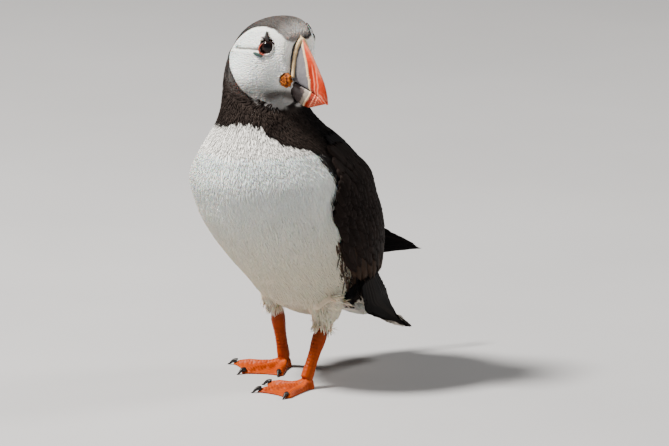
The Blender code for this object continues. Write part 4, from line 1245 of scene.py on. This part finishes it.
def bill_colours(points):
    """Grey base, a cream stripe, then orange red crossed by pale grooves, with a painted highlight along the
    ridge.
    """
    forward, aside, up = in_head(points).T
    wobble, fine = hash_noise(points, 3.0, 11), hash_noise(points, 0.9, 12)
    past = forward - curve(BILL_STRIPE, up) + 0.2 * wobble
    is_upper = up > read(GAPE, forward)[..., 0]
    base = mix(PALE_GREY, SLATE, 0.25 + 0.25 * wobble + 0.5 * ease(8, 0, up))
    base = mix(base, CREAM, ease(17, 21, up) * 0.7)
    under = mix(LOWER_SLATE, BUFF, ease(-4.6, -3.6, past + 0.10 * up + 0.3 * fine))
    base = np.where(is_upper[:, None], base, under)
    red = mix(RED, DEEP_RED, 0.25 + 0.25 * fine)
    red = mix(red, DEEP_RED, ease(2.9, 2.3, past) * 0.75 * ease(15, 8, up))
    wrinkle = 0.5 + 0.5 * np.sin(2.4 * forward + 3.0 * up + 3.0 * hash_noise(points, 1.6, 13))
    red = mix(red, PINK, 0.75 * wrinkle**2 * ease(1.5, -2.0, up) * ease(1.6, 2.6, past))
    # painted highlight: a pale line along the ridge of the bill
    red = mix(red, PINK, 0.55 * ease(1.5, 0.6, np.abs(aside)) * ease(4, 10, up))
    colour = mix(base, CREAM, ease(-0.75, -0.35, past))
    colour = mix(colour, red, ease(0.35, 0.7, past))
    for groove in GROOVES:
        colour = mix(colour, PINK, 0.9 * (ease(0.42, 0.16, np.abs(past - groove)) * ease(13, 9, up)))
    return colour


def bill_surface(rings):
    """Adds the grooves, the stripe's ridge and the growth lines to a bill's rings."""
    points = np.asarray(rings).reshape(-1, 3)
    forward, aside, up = in_head(points).T
    past = forward - curve(BILL_STRIPE, up)
    sink = np.zeros(len(points))
    for groove in GROOVES:
        sink -= 0.22 * np.exp(-(((past - groove) / 0.30) ** 2)) * ease(13, 9, up)
        sink += 0.30 * np.exp(-(((past - groove + 0.75) / 0.38) ** 2)) * ease(13, 9, up)
    sink -= 0.35 * np.exp(-((past / 0.45) ** 2))
    sink += 0.07 * hash_noise(points, 1.1, 21) + 0.03 * np.sin(past * 9)
    sink += 0.16 * np.sin(2.4 * forward + 3.0 * up) * ease(0.5, -2.5, up) * ease(1.6, 2.6, past)
    sink = sink * ease(BILL_BACK, BILL_BACK + 6, forward)
    inward = np.sign(aside) * np.clip(np.abs(aside) / 2.0, 0, 1)
    return head_point(forward, aside - inward * sink, up).reshape(np.asarray(rings).shape)


def bill_ring(forward, low, high, half_width, ridge_share, around):
    """A section of the bill: flat sides that lean in towards the ridge."""
    middle, half_height = (low + high) / 2, (high - low) / 2
    turn = 2 * np.pi * (np.arange(around) + 0.5) / around
    fullness = np.where(turn < np.pi, BILL_ARCH, BILL_EDGE)
    across = np.sign(np.cos(turn)) * np.abs(np.cos(turn)) ** fullness
    rise = np.sign(np.sin(turn)) * np.abs(np.sin(turn)) ** BILL_ARCH
    lean = 1 - (1 - ridge_share) * ((rise + 1) / 2) ** BILL_FLARE
    return head_point(forward, half_width * across * lean, middle + half_height * rise)


def make_bill():
    count, around = 130, 120
    shares = np.linspace(0, 1, count) ** 0.85
    for name, end, edge, sign, width_share, ridge in (
        ("bill_upper", BILL_END, CULMEN, 1, 1.0, UPPER_RIDGE),
        ("bill_lower", LOWER_END, GONYS, -1, LOWER_SHARE, LOWER_RIDGE),
    ):
        rings = []
        for place in BILL_BACK + (end - BILL_BACK) * shares:
            gape = read(GAPE, place)[0] + sign * BILL_SEAM
            far = sign * max(sign * read(edge, place)[0], sign * gape + BILL_LEAST_HEIGHT)
            rings.append(bill_ring(place, gape, far, bill_half_width(place) * width_share, ridge, around))
        points, faces = loft(bill_surface(rings))
        solid_piece(name + "_horn", points, faces, bill_colours(points), BILL, "bill_horn", name)


def make_cere():
    """The thick cream rim round the bill's base, pointed over the ridge."""
    count = 120
    place = np.linspace(-1, 1, count)
    down = place**2
    forward = CERE_TOP[0] + (CERE_FOOT[0] - CERE_TOP[0]) * down**CERE_BEND
    up = CERE_TOP[1] + (CERE_FOOT[1] - CERE_TOP[1]) * down
    lumps = 1 + 0.07 * np.sin(place * 29) + 0.05 * np.sin(place * 53 + 1)
    radii = CERE_RADIUS * (0.76 + 0.16 * np.cos(place * np.pi / 2)) * lumps
    points, faces = tube(head_point(forward, -place * CERE_HALF_WIDTH, up), radii, 18, AHEAD)
    at, _, height = in_head(points).T
    ahead = at - np.interp(height, up[count // 2 :][::-1], forward[count // 2 :][::-1])
    colours = mix((0.74, 0.57, 0.35), (0.55, 0.36, 0.17), 0.4 + 0.4 * hash_noise(points, 0.8, 31))
    colours = mix(colours, (0.22, 0.12, 0.06), ease(-0.45, -1.0, ahead) * 0.8)
    solid_piece("bill_ridge_horn", points, faces, colours, SOFT_HORN, "bill_ridge", "bill_ridge")


def make_rosette(side):
    """The wrinkled fleshy fold at the corner of the mouth, with painted shade in the hollows of its wrinkles.
    """
    rows, around = 44, 72
    rise = np.linspace(-0.998, 0.998, rows)[:, None]
    wide = np.sqrt(1 - rise**2)
    ball = stacked(wide * np.cos(turns(around)), wide * np.sin(turns(around)), rise)
    ring = np.hypot(ball[..., 0], ball[..., 2])
    around_it = np.arctan2(ball[..., 2], ball[..., 0])
    fold = 0.09 * np.cos(ring * 13 + 1.2 * np.sin(3 * around_it)) + 0.05 * np.cos(around_it * 9 + 4 * ring)
    place = ball * np.array(ROSETTE_SIZE) * (1 + fold)[..., None]
    middle = np.array([ROSETTE[0], -SIDES[side] * ROSETTE[1], ROSETTE[2]])
    points, faces = loft(head_point(*np.moveaxis(place + middle, -1, 0)))
    dip = np.concatenate([fold.ravel(), fold[0, :1], fold[-1, :1]])
    # painted shade: darker where the fold dips and lighter on its ridges
    colours = mix((0.09, 0.014, 0.0), (0.34, 0.085, 0.0), ease(-0.1, 0.12, dip))
    solid_piece("rosette_fold_" + side, points, faces, colours, SOFT_HORN, "rosette_skin", "rosette_" + side)


def make_eyeball(side):
    middle, axis = eye_axis(side)
    across = unit(np.cross(axis, UP))
    tilt = np.linspace(0.01, np.pi - 0.01, 40)[:, None, None]
    circle = spun(turns(48), across, np.cross(across, axis))
    points, faces = loft(middle + (np.cos(tilt) * axis + np.sin(tilt) * circle) * (EYE_RADIUS - 0.25))
    opened = np.degrees(np.arccos(np.clip(unit(points - middle) @ axis, -1, 1)))
    colours = mix((0.003, 0.003, 0.004), (0.013, 0.006, 0.005), ease(24, 30, opened))
    colours = mix(colours, (0.012, 0.006, 0.005), ease(40, 48, opened))
    solid_piece("eyeball_" + side, points, faces, colours, EYE_GLOSS, "eye", "eye_" + side)


def make_eyelids(side):
    """The red ring of the lids, dark above and covered in front."""
    axis = eye_axis(side)[1]
    count, thick = 72, 12
    turn = turns(count)
    forward, up = RING_PLACE[0] + RING_SIZE[0] * np.cos(turn), RING_PLACE[1] + RING_SIZE[1] * np.sin(turn)
    ring = on_face_point(side, forward, up, np.full(count, RING_SINK))
    outward = unit(ring - ring.mean(axis=0))
    dark = ease(-0.45, 0.1, np.cos(turn - 1.0))
    lumps = 0.85 + 0.12 * np.sin(turn * 17) + 0.07 * np.sin(turn * 29 + 2)
    bead = RING_THICKNESS * lumps * (1 - 0.5 * dark)
    points = (ring[:, None] + spun(turns(thick), outward[:, None], axis) * bead[:, None, None]).reshape(-1, 3)
    last = (count - 1) * thick
    j = np.arange(thick)
    k = (j + 1) % thick
    quads = np.concatenate([grid_faces(count, thick, closed=True), np.stack([last + j, last + k, k, j], -1)])
    colours = mix((0.22, 0.018, 0.008), (0.42, 0.055, 0.018), 0.5 + 0.5 * hash_noise(points, 0.7, 41))
    colours = mix(colours, (0.010, 0.006, 0.006), np.repeat(dark, thick))
    covered = ease(0.25, 0.75, np.cos(turn + 0.15))
    colours = mix(colours, np.array(WHITE) * 0.8, np.repeat(covered, thick))
    solid_piece("eyelid_ring_" + side, points, [quads], colours, LID_SKIN, "eye_ring", "eye_ring_" + side)


def make_eye_plates(side):
    """The two small horny plates over and under the eye."""
    for name, (offset, size, lean, taper), tint in (
        ("upper", UPPER_PLATE, (0.010, 0.008, 0.008)),
        ("lower", LOWER_PLATE, (0.030, 0.055, 0.050)),
    ):
        up, over = np.linspace(-1, 1, 21)[:, None], np.linspace(-1, 1, 25)[None, :]
        wide = np.sqrt(np.clip(1 - up**2, 0.02, 1)) * (1 - taper * (up + 1) / 2)
        forward = EYE[0] + offset[0] + size[0] * wide * over + size[1] * up * lean
        height = EYE[1] + offset[1] + size[1] * up + 0 * over
        dome = np.sqrt(np.clip(1 - over**2, 0, 1)) * np.sqrt(np.clip(1 - up**2, 0, 1))
        top = on_face_point(side, forward, height, -0.05 + 0.25 * dome)
        bottom = on_face_point(side, forward, height, 0.0 * dome - 1.2)
        points, faces = loft(np.concatenate([top, bottom[:, ::-1]], axis=1))
        colours = mix(tint, np.array(tint) * 1.6, 0.5 + 0.5 * hash_noise(points, 0.8, 51))
        ending = f"{name}_{side}"
        solid_piece(
            "eye_plate_horn_" + ending, points, faces, colours, SOFT_HORN, "eye_plate", "eye_plate_" + ending
        )


def zigzag(at):
    """1 at whole numbers and 0 halfway between them, in straight lines."""
    return np.abs(np.mod(at, 1.0) - 0.5) * 2


def make_leg(side):
    """Scaled skin of the shin, toes and webs as one surface."""
    nodes = (f"tarsus_{side}", f"foot_{side}")
    mesh = remeshed(nodes, LEG_VOXEL, LEG_GROWTH, LEG_SMOOTHING)
    points, normals = mesh_points(mesh)
    joint, ankle = np.array(FOOT_JOINT[side]), np.array(ANKLE[side])
    x, y = (points - joint)[:, :2].T
    z = points[:, 2]
    scute, toe_share = np.zeros(len(points)), np.zeros(len(points))
    for heading, _ in TOES[side].values():
        turn = math.radians(heading)
        ahead = x * math.sin(turn) - y * math.cos(turn)
        beside = np.abs(x * math.cos(turn) + y * math.sin(turn))
        on_toe = ease(2.6, 1.4, beside) * ease(3.0, 6.0, ahead) * (z < 9)
        scute = np.where(on_toe > toe_share, zigzag(ahead / 1.7), scute)
        toe_share = np.maximum(toe_share, on_toe)
    rise = (points - joint) @ unit(ankle - joint)
    on_shin = ease(4, 8, rise) * (z > 6)
    wave = zigzag(rise / 2.1 + 0.12 * hash_noise(points, 4.0, 61))
    front = np.clip(-(normals[:, 1]), 0, 1)
    web = (1 - toe_share) * (z < 4) * ease(4, 9, np.hypot(x, y))
    creases = np.sin(np.hypot(x, y) * 2.4 + 1.5 * hash_noise(points, 3.0, 62))
    height = toe_share * 0.30 * (ease(0.0, 0.35, scute) - 1)
    height += on_shin * (0.10 + 0.30 * front) * (ease(0.0, 0.3, wave) - 1)
    height += web * 0.16 * creases + 0.08 * hash_noise(points, 0.9, 63)
    height = np.where(z < 0.35, 0.0, height)  # the soles stay flat
    moved = points + normals * (height - 0.2)[:, None]
    moved[:, 2] = np.maximum(moved[:, 2], 0.02)
    set_points(mesh, moved)
    colour = mix(LEG_ORANGE, LEG_RED, np.clip(0.35 + 0.45 * hash_noise(points, 6.0, 64), 0, 1))
    colour = mix(colour, (0.50, 0.070, 0.0), toe_share * ease(0.3, 0.9, scute) * 0.5)
    between = toe_share * ease(0.3, 0.0, scute) + on_shin * ease(0.25, 0.0, wave) * 0.5
    colour = mix(colour, SCALE_EDGE, between * 0.7)
    colour = mix(colour, (0.16, 0.045, 0.012), ease(0.55, 0.95, hash_noise(points, 2.2, 65)) * 0.4)
    colour = mix(colour, (0.20, 0.05, 0.02), ease(ankle[2] - 3, ankle[2] + 3, z) * 0.5)
    mesh.shade_smooth()
    paint(mesh, colour)
    piece(linked("leg_scaled_" + side, mesh), LEG, "leg_skin", *nodes)


def make_claws():
    parts, colours, nodes, groups, offset = [], [], [], ([], []), 0
    share = np.linspace(0, 1, 24)
    radii = CLAW_RADIUS * (1 - 0.85 * share**1.2) * (1 + 0.03 * np.sin(share * 40))
    for side in SIDES:
        joint = FOOT_JOINT[side]
        for toe, (heading, length) in TOES[side].items():
            turn = math.radians(heading)
            ahead = np.array([math.sin(turn), -math.cos(turn), 0.0])
            reach = length - 2.2 + CLAW_LENGTH * share
            route = np.array([joint[0], joint[1], 0.0]) + ahead * reach[:, None]
            route[:, 2] = radii + 0.06 + 1.3 * np.sin(np.pi * np.minimum(share + 0.25, 1.0))
            points, faces = tube(route, radii, 16)
            for group, part in zip(groups, faces):
                group.append(part + offset)
            offset += len(points)
            parts.append(points)
            worn = ease(0.3, 0.9, hash_noise(points, 1.5, 71))
            colours.append(mix((0.009, 0.007, 0.007), (0.05, 0.038, 0.030), worn))
            nodes.append(f"claw_{side}_{toe}")
    faces = [np.concatenate(group) for group in groups]
    solid_piece(
        "claws_curved", np.concatenate(parts), faces, np.concatenate(colours), CLAW, "claw_horn", *nodes
    )


# ==== Floor, light and camera ====


def look_at(made, place, target):
    made.location = place
    made.rotation_euler = (Vector(target) - Vector(place)).to_track_quat("-Z", "Y").to_euler()


def make_stage():
    size = FLOOR_HALF_SIDE
    mesh = bpy.data.meshes.new("floor")
    corners = [(x * size, y * size, 0) for x, y in ((-1, -1), (1, -1), (1, 1), (-1, 1))]
    mesh.from_pydata(corners, [], [(0, 1, 2, 3)])
    floor = linked("floor", mesh)
    finish, tree, shader = new_material("pale_floor", 0.85, Specular_IOR_Level=0.2)
    tone = ramp(tree, noise(tree, 3.0), (0.38, 0.38, 0.39), (0.42, 0.42, 0.43))
    tree.links.new(tone, shader.inputs["Base Color"])
    mesh.materials.append(finish)

    world = bpy.data.worlds.new("studio")
    world.use_nodes = True
    background = world.node_tree.nodes["Background"]
    background.inputs["Color"].default_value = (0.97, 0.98, 1.0, 1.0)
    background.inputs["Strength"].default_value = 0.085
    bpy.context.scene.world = world

    for name, place, size, power, colour in LIGHTS:
        data = bpy.data.lights.new(name, "AREA")
        data.shape = "DISK"
        data.size = size
        data.energy = power
        data.color = colour
        look_at(linked(name, data), place, LIGHTS_AIM)


def make_camera():
    right = Vector((math.cos(VIEW_AZIMUTH), math.sin(VIEW_AZIMUTH), 0.0))
    back = Vector((
        math.sin(VIEW_AZIMUTH) * math.cos(VIEW_ELEVATION),
        -math.cos(VIEW_AZIMUTH) * math.cos(VIEW_ELEVATION),
        math.sin(VIEW_ELEVATION),
    ))
    rise = back.cross(right)
    target = Vector(SHIFT) * MM + right * FRAME_MIDDLE[0] * MM + rise * FRAME_MIDDLE[1] * MM
    data = bpy.data.cameras.new("camera")
    data.sensor_width = SENSOR
    data.lens = SENSOR * CAMERA_DISTANCE / FRAME_WIDTH
    data.clip_end = 50.0
    camera = linked("camera", data)
    look_at(camera, target + back * CAMERA_DISTANCE, target)
    bpy.context.scene.camera = camera


def main():
    rng = np.random.default_rng(SEED)
    surface = Surface(make_skin())
    for make in (make_head_coat, make_body_coat, make_flank, make_rump_coat):
        make(surface, rng)
    make_back(rng)
    for side in SIDES:
        make_wing(side, rng)
        make_primaries(side, rng)
    make_tail(rng)
    make_bill()
    make_cere()
    for side in SIDES:
        for make in (make_rosette, make_eyeball, make_eyelids, make_eye_plates, make_leg):
            make(side)
    make_claws()
    make_stage()
    make_camera()


main()
